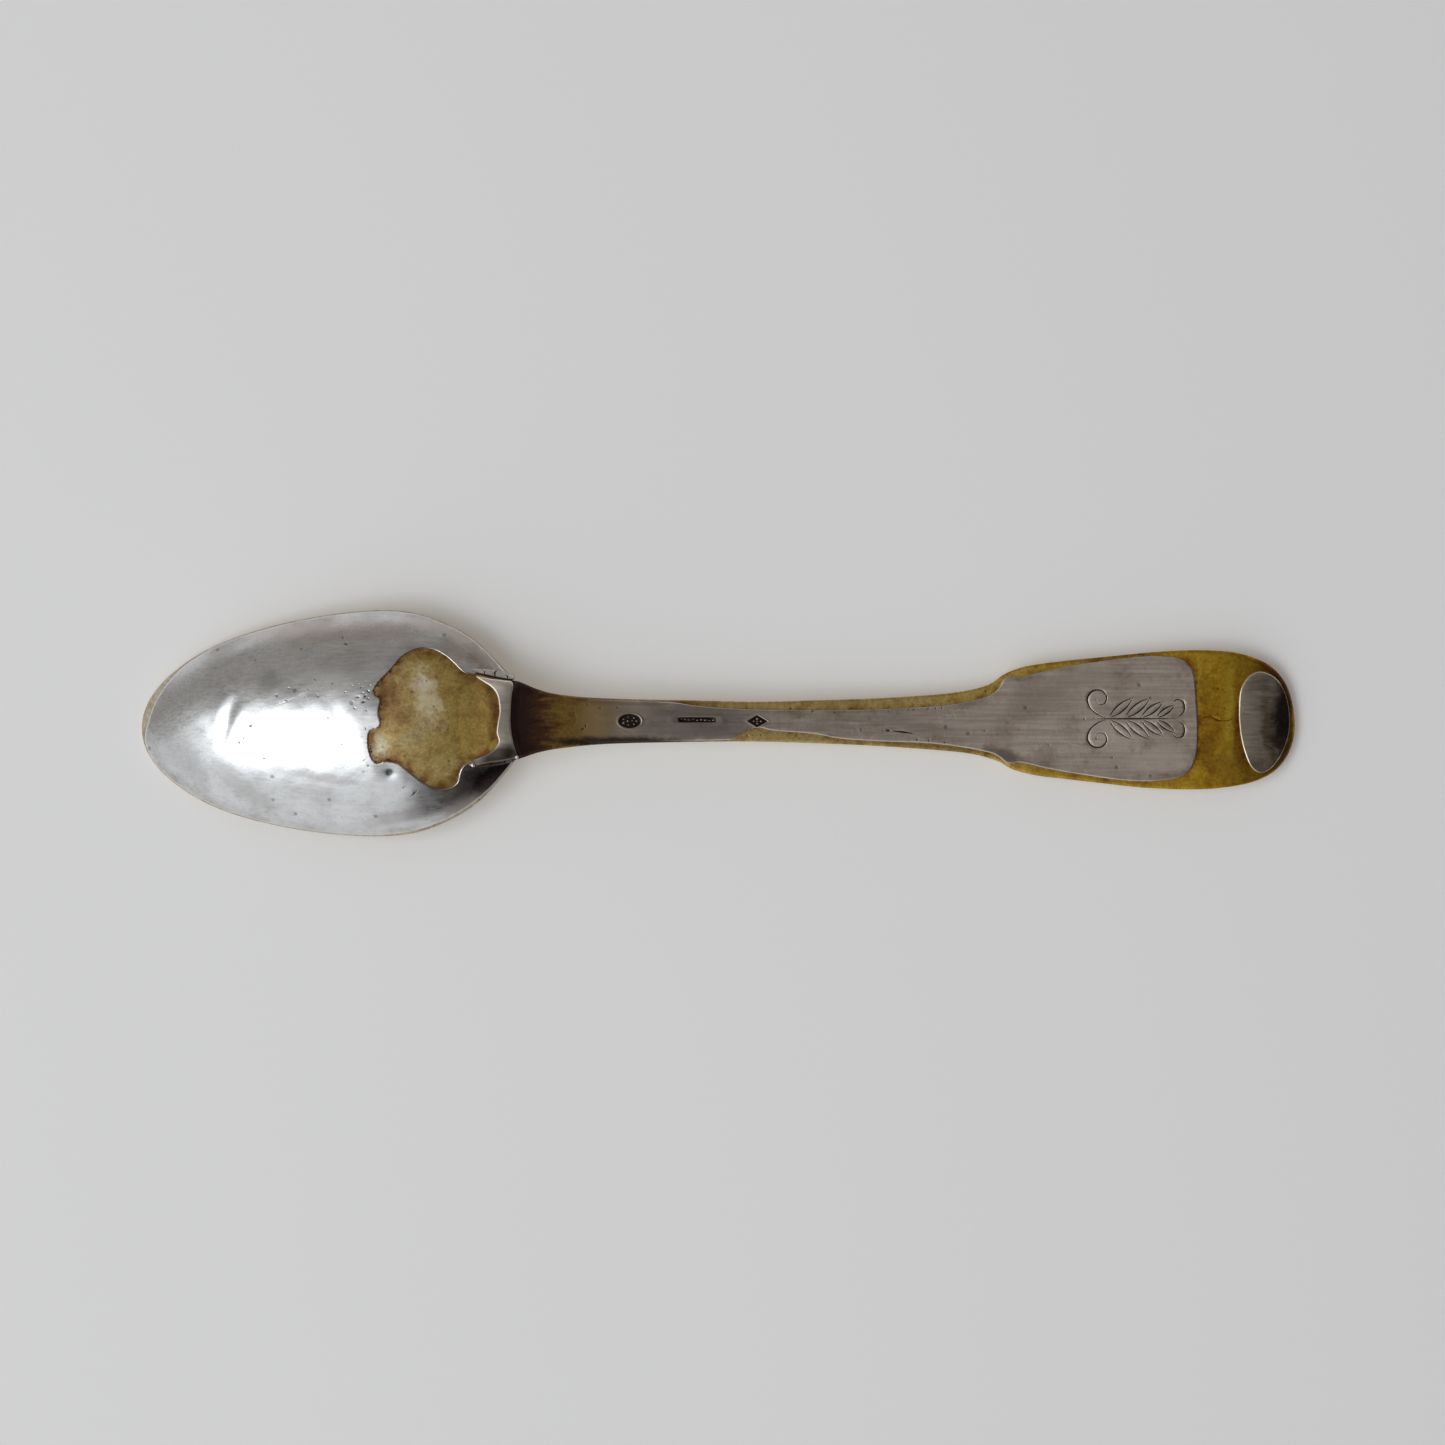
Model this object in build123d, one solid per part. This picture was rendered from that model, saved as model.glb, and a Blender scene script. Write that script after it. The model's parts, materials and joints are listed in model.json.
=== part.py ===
from build123d import *

import math
import os

# Antique teaspoon with a fiddle-shaped handle: yellow-metal body, worn silver facings on its back.
# The spoon lies face down, as it is laid on a table: back upward (+Z), bowl towards -X, handle end towards +X.
# Stations along the spoon are measured from the bowl's tip; the finished parts are moved to the row frame
# at the end. All sizes are in millimetres.

# ---------------------------------------------------------------- driving dimensions
LENGTH = 145.0  # bowl tip to handle end
ROOT = 47.6  # station where the bowl's rim meets the neck: the crest of the heel
BOWL_TILT = 5.5  # degrees the rim plane rises from the tip towards the neck
BOWL_YAW = 1.45  # degrees the worn bowl is bent sideways from the handle's axis
BOWL_TIP_Y = -1.05  # sideways place of the bowl's tip
BOWL_FLARE = 0.82  # height over width of the bowl's barrel
BOWL_CORE = 6.5  # radius of the barrel left where the plan width is nothing
BOWL_WALL = 0.85  # bowl wall, measured along the bowl's own height
RIM_SHEER = 0.9  # rise of the rim between tip and root
FACING = 0.2  # thickness of the silver facings

# Squared half width of the bowl at its rim, by station; negative values run the barrel past its ends.
BOWL_STATIONS = [
    (-3.0, -34.0),
    (0.0, 0.0),
    (4.0, 51.0),
    (8.0, 97.0),
    (13.0, 143.0),
    (18.0, 177.5),
    (24.0, 206.0),
    (30.0, 217.0),
    (35.0, 202.5),
    (39.0, 162.5),
    (43.0, 103.5),
    (46.0, 49.0),
    (49.0, 6.0),
    (52.0, -30.0),
]

# Half of the handle's outline, from the tongue to the blunt end; the two sides differ a little, as forged.
TONGUE_START = 41.2
LEFT_EDGE = [
    (ROOT, 4.95),
    (50.1, 3.94),
    (53.1, 3.26),
    (59.0, 2.82),
    (70.6, 2.56),
    (85.1, 2.62),
    (92.9, 2.88),
    (101.8, 3.62),
    (106.3, 4.55),
    (109.0, 5.98),
    (113.3, 7.1),
    (120.0, 7.92),
    (128.5, 8.75),
    (135.0, 8.85),
    (139.5, 8.1),
    (142.6, 6.1),
    (144.4, 2.9),
]
RIGHT_EDGE = [
    (ROOT, -4.75),
    (50.1, -3.94),
    (53.1, -3.3),
    (59.0, -2.82),
    (70.6, -2.56),
    (85.1, -2.72),
    (92.9, -3.0),
    (101.8, -3.7),
    (106.3, -4.6),
    (109.0, -5.8),
    (113.3, -6.95),
    (120.0, -7.85),
    (128.5, -8.55),
    (135.0, -8.6),
    (139.8, -7.95),
    (143.0, -6.0),
    (144.8, -2.9),
]
HANDLE_TIP = (LENGTH, -0.8)
TONGUE_HALF = 5.35  # half width of the heel's tongue where it starts on the bowl's back

# Side view of the handle: its back (upper) and front (lower) lines. The blade is flat between two stations.
BLADE_FLAT = (108.0, 134.0)
BLADE_BACK = 3.0
BLADE_FRONT = 1.2
PLATEAU = [(TONGUE_START - 0.5, 9.42), (44.6, 9.02), (ROOT, 8.25)]
NECK_BACK = [
    (ROOT, 8.25),
    (50.4, 7.32),
    (54.0, 6.7),
    (62.0, 5.8),
    (74.0, 4.82),
    (88.0, 3.88),
    (100.0, 3.22),
    (BLADE_FLAT[0], BLADE_BACK),
]
NECK_FRONT = [
    (46.0, 4.5),
    (50.0, 4.45),
    (56.0, 3.55),
    (66.0, 2.6),
    (80.0, 1.8),
    (94.0, 1.36),
    (BLADE_FLAT[0], BLADE_FRONT),
]
END_DROP = 1.65

# Where the silver is worn through to the yellow metal over the heel (clockwise from its -X corner).
WORN_PATCH = [
    (29.6, 3.3),
    (30.9, 5.6),
    (32.7, 7.8),
    (34.9, 9.0),
    (37.3, 8.9),
    (39.4, 7.4),
    (41.2, 5.9),
    (43.1, 5.0),
    (44.7, 3.7),
    (45.2, 1.6),
    (44.9, -1.0),
    (45.1, -2.6),
    (43.8, -4.1),
    (41.4, -5.1),
    (40.3, -6.7),
    (39.4, -8.2),
    (37.9, -8.5),
    (35.6, -7.6),
    (33.6, -6.0),
    (31.7, -5.1),
    (29.5, -4.8),
    (28.9, -2.4),
    (29.9, -0.9),
    (30.3, 1.2),
]

# Facing of the handle's back: fiddle-shaped, square-ended, with the bite worn out of its lower side.
HANDLE_FACING = [
    (57.0, 2.35),
    (66.5, 2.05),
    (71.5, 1.6),
    (85.1, 1.3),
    (98.0, 1.7),
    (104.6, 2.5),
    (107.6, 3.7),
    (108.7, 5.3),
    (112.3, 6.1),
    (120.1, 7.3),
    (127.1, 7.95),
    (130.6, 7.6),
    (132.2, 5.6),
    (132.8, 0.3),
    (132.4, -5.0),
    (130.8, -7.2),
    (127.1, -7.6),
    (117.0, -6.7),
    (110.6, -5.2),
    (108.0, -4.5),
    (104.4, -3.2),
    (95.4, -2.4),
    (88.5, -1.95),
    (82.6, -1.3),
    (77.4, -0.95),
    (74.0, -1.7),
    (70.0, -1.95),
    (57.0, -2.3),
]

# Facing of the handle's end: an upright oval, a little flatter towards the bowl.
TIP_FACING = [
    (137.9, 0.4),
    (138.2, 3.8),
    (139.3, 5.8),
    (140.8, 6.2),
    (142.5, 5.4),
    (143.7, 3.4),
    (144.2, 0.5),
    (144.0, -2.0),
    (143.2, -4.4),
    (141.9, -6.0),
    (140.5, -6.4),
    (139.2, -5.5),
    (138.2, -3.0),
]

# Facing on top of the heel: a narrow band between the worn patch and the crest.
HEEL_FACING = [
    (43.0, 4.6),
    (44.9, 3.1),
    (45.6, 0.6),
    (45.3, -2.2),
    (45.3, -3.2),
    (44.4, -4.5),
    (47.3, -4.3),
    (47.3, 4.4),
]

# Solder runs along the tongue's sides: sections (sideways place, height) at their two ends, for the +Y side.
SEAM_STATIONS = (41.9, 47.75)
SEAM_START = [(4.0, 9.05), (5.3, 9.05), (6.35, 7.75), (6.35, 6.4), (4.0, 6.4)]
SEAM_END = [(4.0, 7.9), (4.95, 7.9), (5.2, 4.9), (5.2, 4.5), (4.0, 4.5)]
SEAM_SHIFT = 0.2  # how much nearer to the axis the -Y solder run lies

FAR = 40.0  # reach of cutting tools, well past every part
DEEP = 2.0  # how far the barrel runs on under the rim for cutting


def bowl_place():
    """Location that carries the bowl's own frame, tip at its origin, onto the spoon."""
    return Location((0, BOWL_TIP_Y, 0)) * Rotation(0, 0, BOWL_YAW) * Rotation(0, -BOWL_TILT, 0)


def face_inside(*curves):
    """Face bounded by curves that meet end to end."""
    return make_face(Wire([edge for curve in curves for edge in curve.edges()]))


def barrel(lift=0.0):
    """Closed barrel whose upper side is the bowl's back, in the bowl's own frame, raised by lift."""
    rim_depth = BOWL_FLARE * BOWL_CORE
    profile = [(x, math.sqrt(square + BOWL_CORE**2)) for x, square in BOWL_STATIONS]
    first, last = profile[0], profile[-1]
    ends = Polyline(last, (last[0], 0), (first[0], 0), first)
    turned = revolve(face_inside(Spline(*profile), ends), Axis.X, 360)
    return Pos(0, 0, lift - rim_depth) * scale(turned, by=(1, 1, BOWL_FLARE))


def rim_tool(raise_tip=0.0, raise_all=0.0):
    """Everything above the rim's gently arched line, in the bowl's own frame."""
    middle, end = 25.0, 50.0
    low = -6.0
    line = Spline(
        (low, raise_tip + raise_all - RIM_SHEER * 0.35),
        (0, raise_tip + raise_all),
        (middle, RIM_SHEER + raise_all),
        (end, raise_all),
        (end + 6, raise_all - RIM_SHEER * 0.35),
    )
    over = Polyline(line @ 1, (end + 6, FAR), (low, FAR), line @ 0)
    return across(face_inside(line, over))


def make_bowl():
    """Dished bowl: the barrel's upper skin, cut off along the rim."""
    shell = (barrel() & rim_tool()) - barrel(-BOWL_WALL)
    return bowl_place() * shell


def cutter():
    """The bowl's whole inside and wall, down past the rim, for fitting parts onto its back."""
    below = Pos(25, 0, FAR / 2 - DEEP) * Box(3 * FAR, 2 * FAR, FAR)
    return bowl_place() * (barrel() & below)


def round_outline(points):
    """Face inside a smooth closed curve through the points."""
    return make_face(Spline(*points, periodic=True))


def square_ended(points):
    """Face inside a smooth curve through the points, closed by a straight end between first and last."""
    return face_inside(Spline(*points), Line(points[-1], points[0]))


def prism(face):
    """The plan face run up through every part."""
    return Pos(0, 0, -FAR) * extrude(face, 2 * FAR, dir=(0, 0, 1))


def across(face):
    """The side-view face run across the spoon's whole width."""
    return Pos(0, FAR, 0) * extrude(Plane.XZ * face, 2 * FAR, dir=(0, -1, 0))


def handle_plan():
    """Outline of tongue, neck, stem and fiddle-shaped blade, seen from above."""
    left, right = LEFT_EDGE[0], RIGHT_EDGE[0]
    sides = Spline(*LEFT_EDGE, HANDLE_TIP, *reversed(RIGHT_EDGE))
    tongue = Polyline(right, (TONGUE_START, -TONGUE_HALF), (TONGUE_START, TONGUE_HALF), left)
    return face_inside(sides, tongue)


def back_line():
    """Side view of the handle's back: plateau of the heel, neck, flat blade and turned-down end."""
    flat_start = (BLADE_FLAT[0], BLADE_BACK)
    flat_end = (BLADE_FLAT[1], BLADE_BACK)
    end = (LENGTH + 1, BLADE_BACK - END_DROP * 1.2)
    plateau = Spline(*PLATEAU)
    neck = Spline(*NECK_BACK)
    return [plateau, neck, Line(flat_start, flat_end), TangentArc(flat_end, end, tangent=(1, 0))]


def handle_profile():
    """Side view of the handle between its front and its back, run across the spoon's width."""
    back = back_line()
    start, end = back[0] @ 0, back[-1] @ 1
    front = Spline(*NECK_FRONT)
    flat = Line((BLADE_FLAT[0], BLADE_FRONT), (BLADE_FLAT[1], BLADE_FRONT))
    front_end = (LENGTH + 0.6, -0.12)
    curl = TangentArc((BLADE_FLAT[1], BLADE_FRONT), front_end, tangent=(1, 0))
    foot = Polyline(front @ 0, (start.X, NECK_FRONT[0][1]), start)
    face = face_inside(*back, Line(end, front_end), curl, flat, front, foot)
    return across(face)


def make_handle():
    """Forged handle: tongue on the bowl's back, neck, stem and blade."""
    return (prism(handle_plan()) & handle_profile()) - cutter()


def facing_band():
    """Side view of a facing: a band of even height on the handle's back, run across the spoon's width."""
    lower = back_line()
    upper = [Pos(0, FACING) * curve for curve in lower]
    start = Line(upper[0] @ 0, lower[0] @ 0)
    end = Line(lower[-1] @ 1, upper[-1] @ 1)
    return across(face_inside(start, *lower, end, *reversed(upper)))


def make_facing(outline):
    """Silver facing on the handle's back, inside a plan outline."""
    return facing_band() & prism(outline)


def make_bowl_facing(handle, seams):
    """Silver skin over the bowl's back, worn through over the heel and stopping short of the rim."""
    skin = (barrel(FACING) & rim_tool(0.4, 0.22)) - barrel()
    placed = bowl_place() * skin
    placed = placed - prism(round_outline(WORN_PATCH))
    for part in (handle, *seams):
        placed = placed - part
    return placed


def make_seam(sign, handle):
    """Solder run filling the corner between the tongue's side and the bowl's back, on the +Y or -Y side."""
    shift = SEAM_SHIFT if sign < 0 else 0.0
    sections = []
    for station, corners in zip(SEAM_STATIONS, (SEAM_START, SEAM_END)):
        points = [(station, sign * (y - shift), z) for y, z in corners]
        sections.append(make_face(Polyline(*points[::sign], close=True)))
    return loft(sections, ruled=True) - cutter() - handle


def row_shift(shapes):
    """Shift that puts the middle of the whole spoon's footprint at the origin, standing on Z = 0."""
    boxes = [shape.bounding_box() for shape in shapes]
    middle_x = (min(box.min.X for box in boxes) + max(box.max.X for box in boxes)) / 2
    middle_y = (min(box.min.Y for box in boxes) + max(box.max.Y for box in boxes)) / 2
    return Pos(-middle_x, -middle_y, -min(box.min.Z for box in boxes))


def main():
    """Build every part, move them to the row frame and write one STEP each."""
    handle = make_handle()
    left, right = make_seam(1, handle), make_seam(-1, handle)
    parts = {
        "bowl": make_bowl(),
        "bowl_facing": make_bowl_facing(handle, [left, right]),
        "handle": handle,
        "handle_facing": make_facing(square_ended(HANDLE_FACING)),
        "tip_facing": make_facing(round_outline(TIP_FACING)),
        "heel_facing": make_facing(make_face(Polyline(*HEEL_FACING, close=True))),
        "heel_seam_left": left,
        "heel_seam_right": right,
    }
    shift = row_shift(parts.values())
    os.makedirs("parts", exist_ok=True)
    for name, shape in parts.items():
        placed = shift * shape
        print(name, len(placed.solids()), "solid", round(placed.volume, 2), "mm3")
        export_step(placed, f"parts/{name}.step")
    print("shift", shift.position)


main()
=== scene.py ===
import json
import logging
import math
from dataclasses import dataclass, replace
from enum import Enum
from typing import Callable, Iterable, Sequence

import bpy
import numpy as np
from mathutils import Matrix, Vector, kdtree
from mathutils.geometry import delaunay_2d_cdt

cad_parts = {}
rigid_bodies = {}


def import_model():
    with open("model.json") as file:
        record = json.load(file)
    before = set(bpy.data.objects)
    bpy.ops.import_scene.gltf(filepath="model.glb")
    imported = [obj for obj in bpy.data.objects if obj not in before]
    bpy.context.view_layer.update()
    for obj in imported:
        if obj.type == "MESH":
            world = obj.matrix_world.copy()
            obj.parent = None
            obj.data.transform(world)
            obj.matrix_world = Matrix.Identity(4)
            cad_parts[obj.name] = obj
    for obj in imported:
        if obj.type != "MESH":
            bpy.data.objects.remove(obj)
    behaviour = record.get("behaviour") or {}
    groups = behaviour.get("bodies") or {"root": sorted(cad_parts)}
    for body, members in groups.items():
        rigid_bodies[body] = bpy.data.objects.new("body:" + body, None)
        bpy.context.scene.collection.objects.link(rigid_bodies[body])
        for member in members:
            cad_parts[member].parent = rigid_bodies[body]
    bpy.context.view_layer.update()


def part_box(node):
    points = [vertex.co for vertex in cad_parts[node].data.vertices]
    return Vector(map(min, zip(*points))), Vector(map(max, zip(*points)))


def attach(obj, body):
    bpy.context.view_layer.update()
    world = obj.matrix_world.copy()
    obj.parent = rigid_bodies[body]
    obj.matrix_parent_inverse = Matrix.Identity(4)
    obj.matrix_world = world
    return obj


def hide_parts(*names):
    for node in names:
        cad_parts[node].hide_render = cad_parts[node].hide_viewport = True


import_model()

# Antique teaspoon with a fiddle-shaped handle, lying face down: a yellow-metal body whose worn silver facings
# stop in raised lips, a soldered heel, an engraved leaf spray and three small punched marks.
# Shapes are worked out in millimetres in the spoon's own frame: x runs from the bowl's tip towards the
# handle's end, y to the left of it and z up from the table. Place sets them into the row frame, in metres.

MM = 0.001
BODY = "root"
Array = np.ndarray
Piece = bpy.types.Object
Material = bpy.types.Material
Node = bpy.types.Node
NodeTree = bpy.types.NodeTree
Socket = bpy.types.NodeSocket
Surface = Callable[[Array, Array], Array]
log = logging.getLogger("teaspoon")


class Slot(Enum):
    """Material slots of the record."""

    YELLOW = "yellow_metal"
    SILVER = "silver"
    SOLDER = "solder"


# ---------------- curves


def natural_curve(knots: Sequence[tuple[float, float]]) -> Callable[[Array], Array]:
    """Natural cubic curve through stations.

    Args:
        knots: (station, value) pairs in rising order of station.

    Returns:
        A function that gives the value at each station of an array, held at the ends.
    """
    x, value = np.array(knots, float).T
    step = np.diff(x)
    count = len(x)
    system = np.eye(count)
    right = np.zeros(count)
    for i in range(1, count - 1):
        system[i, i - 1 : i + 2] = step[i - 1], 2 * (step[i - 1] + step[i]), step[i]
        right[i] = 3 * ((value[i + 1] - value[i]) / step[i] - (value[i] - value[i - 1]) / step[i - 1])
    bend = np.linalg.solve(system, right)
    slope = np.diff(value) / step - step * (2 * bend[:-1] + bend[1:]) / 3
    twist = np.diff(bend) / (3 * step)

    def curve(at: Array) -> Array:
        """Value of the curve at each station.

        Args:
            at: The stations.

        Returns:
            The values there.
        """
        held = np.clip(at, x[0], x[-1])
        k = np.clip(np.searchsorted(x, held, side="right") - 1, 0, count - 2)
        t = held - x[k]
        return value[k] + t * (slope[k] + t * (bend[k] + t * twist[k]))

    return curve


def evenly(path: Array, step: float, closed: bool = False) -> Array:
    """Points set evenly along a path.

    Args:
        path: The path's points, one a row.
        step: The wanted distance between points.
        closed: Whether the path runs back to its first point.

    Returns:
        The new points; a closed path doesn't repeat its first one.
    """
    full = np.vstack([path, path[:1]]) if closed else path
    run = np.concatenate([[0.0], np.cumsum(np.linalg.norm(np.diff(full, axis=0), axis=1))])
    count = max(2, round(run[-1] / step))
    at = np.linspace(0.0, run[-1], count + 1)
    return np.column_stack([np.interp(at, run, column) for column in full.T])[: count if closed else None]


def flowing(points: Sequence[tuple[float, ...]], step: float, closed: bool = False) -> Array:
    """Smooth path through given points, by Catmull-Rom arcs.

    Args:
        points: The points that the path runs through.
        step: Distance between the points of the result.
        closed: Whether the path is a loop.

    Returns:
        Evenly spaced points along the path.
    """
    given = np.array(points, float)
    count = len(given)
    spans = count if closed else count - 1
    pieces = []
    t = np.linspace(0.0, 1.0, 13)[:-1, None]
    for i in range(spans):
        if closed:
            a, b, c, d = (given[(i + k) % count] for k in (-1, 0, 1, 2))
        else:
            a, b, c, d = (given[min(max(i + k, 0), count - 1)] for k in (-1, 0, 1, 2))
        curve = 2 * b + (c - a) * t + (2 * a - 5 * b + 4 * c - d) * t**2 + (3 * b - a - 3 * c + d) * t**3
        pieces.append(curve / 2)
    if not closed:
        pieces.append(given[-1:])
    return evenly(np.vstack(pieces), step, closed)


def eased(low: float, high: float, value: Array) -> Array:
    """Smooth step from 0 at low to 1 at high."""
    t = np.clip((value - low) / (high - low), 0.0, 1.0)
    return t * t * (3 - 2 * t)


def rounded(depth: Array, width: float) -> Array:
    """Quarter-round profile: 0 at an edge, 1 from the given width inwards."""
    return np.sqrt(np.clip(1 - (1 - np.clip(depth / width, 0.0, 1.0)) ** 2, 0.0, 1.0))


def soft_max(a: Array, b: Array, blend: float) -> Array:
    """Larger of two heights, with the corner between them blended over a distance."""
    share = np.clip(0.5 + 0.5 * (a - b) / blend, 0.0, 1.0)
    return b + (a - b) * share + blend * share * (1 - share)


def left_of(ahead: Array) -> Array:
    """Unit steps to the left of each given direction."""
    ahead = ahead / np.linalg.norm(ahead, axis=1)[:, None]
    return np.column_stack([-ahead[:, 1], ahead[:, 0]])


def inward_of(loop: Array) -> Array:
    """Unit steps to the inside, from each point of an anticlockwise loop."""
    return left_of(np.roll(loop, -1, axis=0) - np.roll(loop, 1, axis=0))


def anticlockwise(loop: Array) -> Array:
    """The loop's points in anticlockwise order."""
    x, y = loop.T
    return loop if np.sum(x * np.roll(y, -1) - np.roll(x, -1) * y) > 0 else loop[::-1]


def search_tree(points: Array) -> kdtree.KDTree:
    """Search tree that finds the nearest of some points in plan.

    Args:
        points: The points to search.

    Returns:
        The tree, ready to search.
    """
    tree = kdtree.KDTree(len(points))
    for i, (x, y) in enumerate(points):
        tree.insert((x, y, 0.0), i)
    tree.balance()
    return tree


class Path:
    """Line in plan whose distance can be asked for at many points."""

    def __init__(self, points: Array, closed: bool = False, step: float = 0.05) -> None:
        """Keep the line as closely set points.

        Args:
            points: Points of the line, in plan.
            closed: Whether the line is a loop.
            step: Distance between the points kept.
        """
        self.points = evenly(points, step, closed)
        self.tree = search_tree(self.points)

    def nearest(self, x: Array, y: Array) -> tuple[Array, Array]:
        """Distance to the line, and how far along it the nearest place is.

        Args:
            x: Stations.
            y: Sideways places.

        Returns:
            The distances, and the shares of the line's length from 0 to 1.
        """
        found = [self.tree.find((a, b, 0.0)) for a, b in zip(x, y)]
        share = np.array([hit[1] for hit in found], float) / (len(self.points) - 1)
        return np.array([hit[2] for hit in found], float), share

    def distance(self, x: Array, y: Array) -> Array:
        """Distance from each point to the line."""
        return self.nearest(x, y)[0]


def within(loop: Array, points: Array) -> Array:
    """Which points lie inside a closed loop, by the even-odd rule.

    Args:
        loop: The closed loop.
        points: The points asked about.

    Returns:
        Whether each point lies inside.
    """
    inside = np.zeros(len(points), bool)
    x, y = points.T
    for (x0, y0), (x1, y1) in zip(loop, np.roll(loop, -1, axis=0)):
        if y0 == y1:
            continue
        crosses = (y0 > y) != (y1 > y)
        inside ^= crosses & (x < (x1 - x0) * (y - y0) / (y1 - y0) + x0)
    return inside


def offset_rings(loop: Array, depths: Iterable[float]) -> Array:
    """Rows of points that follow a loop on its inside, for a fine mesh along an edge.

    Args:
        loop: The closed loop, anticlockwise.
        depths: How far inside each row lies.

    Returns:
        The points of every row, without those that would come too near another stretch of the loop.
    """
    inward = inward_of(loop)
    edge = Path(loop, closed=True)
    kept = []
    for depth in depths:
        row = loop + inward * depth
        clear = edge.distance(*row.T) > depth * 0.85
        kept.append(row[clear & within(loop, row)])
    return np.vstack(kept)


# ---------------- solids


@dataclass(frozen=True)
class Place:
    """Where the spoon's own frame lies in the row frame."""

    tip: float
    side: float

    @classmethod
    def from_frame(cls) -> "Place":
        """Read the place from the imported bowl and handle."""
        handle_side = 8.635 * MM
        return cls(tip=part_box("bowl")[0].x, side=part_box("handle")[0].y + handle_side)

    def set_down(self, x: Array, y: Array, z: Array) -> Array:
        """Points of the spoon's frame, in millimetres, as row-frame points in metres."""
        return np.column_stack([x * MM + self.tip, y * MM + self.side, z * MM])


def new_piece(name: str, vertices: Array, faces: Sequence[Sequence[int]]) -> Piece:
    """Mesh object at the origin, with its place in its mesh.

    Args:
        name: Name of the piece.
        vertices: Vertices in metres, in the row frame.
        faces: Vertex numbers of each face, anticlockwise from outside.

    Returns:
        The new object, linked to the scene.
    """
    mesh = bpy.data.meshes.new(name)
    mesh.from_pydata(vertices.tolist(), [], faces)
    mesh.validate()
    piece = bpy.data.objects.new(name, mesh)
    bpy.context.scene.collection.objects.link(piece)
    return piece


class Plan:
    """Triangulated pattern of a piece, seen from above."""

    CELL = 0.025  # refining points nearer than this are thinned to one

    def __init__(self, loop: Array, spacing: float, refine: Sequence[Array] = ()) -> None:
        """Fill a loop with triangles.

        Args:
            loop: The outline, anticlockwise.
            spacing: Distance between the even points that fill the loop.
            refine: Further points, for fine detail.
        """
        self.loop = loop
        edge = Path(loop, closed=True, step=0.1)
        fine = np.vstack(list(refine)) if refine else np.empty((0, 2))
        fine = fine[within(loop, fine)] if len(fine) else fine
        if len(fine):
            fine = fine[edge.distance(*fine.T) > self.CELL]
            _, first = np.unique(np.round(fine / self.CELL).astype(int), axis=0, return_index=True)
            fine = fine[np.sort(first)]
        even = self._even_points(spacing)
        even = even[edge.distance(*even.T) > spacing * 0.5]
        if len(fine):
            tree = search_tree(fine)
            even = even[np.array([tree.find((x, y, 0.0))[2] for x, y in even]) > spacing * 0.5]
        points = np.vstack([loop, fine, even])
        rim = [(i, (i + 1) % len(loop)) for i in range(len(loop))]
        corners, _, faces, *_ = delaunay_2d_cdt([Vector(p) for p in points], rim, [], 1, 1e-6, False)
        self.points = np.array([tuple(p) for p in corners], float)
        triangles = np.array(faces)
        kept = triangles[within(loop, self.points[triangles].mean(axis=1))]
        self.triangles = [tuple(int(i) for i in face) for face in kept]

    def _even_points(self, spacing: float) -> Array:
        """Points of a triangular lattice inside the loop.

        Args:
            spacing: Distance between neighbours.

        Returns:
            The points.
        """
        low, high = self.loop.min(0), self.loop.max(0)
        rows = np.arange(low[1], high[1], spacing * math.sqrt(0.75))
        along = np.arange(low[0], high[0], spacing)
        lattice = []
        for i, y in enumerate(rows):
            lattice.append(np.column_stack([along + (i % 2) * spacing / 2, np.full(len(along), y)]))
        points = np.vstack(lattice)
        return points[within(self.loop, points)]

    def solid(self, name: str, place: Place, top: Surface, bottom: Surface) -> Piece:
        """Closed solid over the pattern.

        Args:
            name: Name of the piece.
            place: Where the spoon's frame lies.
            top: Height of the upper surface over the pattern.
            bottom: Height of the lower surface under the pattern.

        Returns:
            The piece, smooth-shaded with sharp corners kept.
        """
        x, y = self.points.T
        count = len(x)
        vertices = np.vstack([place.set_down(x, y, top(x, y)), place.set_down(x, y, bottom(x, y))])
        sides = {(t[i], t[(i + 1) % 3]) for t in self.triangles for i in range(3)}
        faces: list[tuple[int, ...]] = list(self.triangles)
        faces += [(a + count, c + count, b + count) for a, b, c in self.triangles]
        faces += [(a + count, b + count, b, a) for a, b in sides if (b, a) not in sides]
        piece = new_piece(name, vertices, faces)
        smooth_with_corners(piece)
        return piece

    def mark(self, piece: Piece, name: str, values: Array, under: float | None = None) -> None:
        """Store a value for each point of the pattern.

        Args:
            piece: A piece made by solid().
            name: Name of the value.
            values: Value of each point on the upper side.
            under: Value of the whole underside, or None where it is the same as above.
        """
        below = values if under is None else np.full(len(values), under)
        attribute = piece.data.attributes.new(name, "FLOAT", "POINT")
        attribute.data.foreach_set("value", np.concatenate([values, below]).astype(np.float32))


def smooth_with_corners(piece: Piece, corner: float = 38.0) -> None:
    """Shade a piece smooth, keeping corners sharper than an angle in degrees."""
    piece.data.shade_smooth()
    piece.data.set_sharp_from_angle(angle=math.radians(corner))


# ---------------- forms


@dataclass(frozen=True)
class Dent:
    """Dent beaten into the metal: a groove between two places, or a round dimple where they are the same."""

    start: tuple[float, float]
    end: tuple[float, float]
    width: float
    depth: float
    shoulder: float = 0.0

    def height(self, x: Array, y: Array) -> Array:
        """Height that the dent adds, mostly below nothing, with a low shoulder round it.

        Args:
            x: Stations.
            y: Sideways places.

        Returns:
            What the dent adds to the height of each point.
        """
        ax, ay = self.start
        dx, dy = self.end[0] - ax, self.end[1] - ay
        length = dx * dx + dy * dy
        along = np.clip(((x - ax) * dx + (y - ay) * dy) / length, 0, 1) if length else np.zeros_like(x)
        away = np.hypot(x - ax - along * dx, y - ay - along * dy) / self.width
        fade = 1 - 0.75 * (2 * along - 1) ** 2 if length else 1.0
        ring = self.shoulder * np.exp(-((away - 1.6) ** 2) / 0.35)
        return (ring - self.depth * np.exp(-(away**2))) * fade


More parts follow.
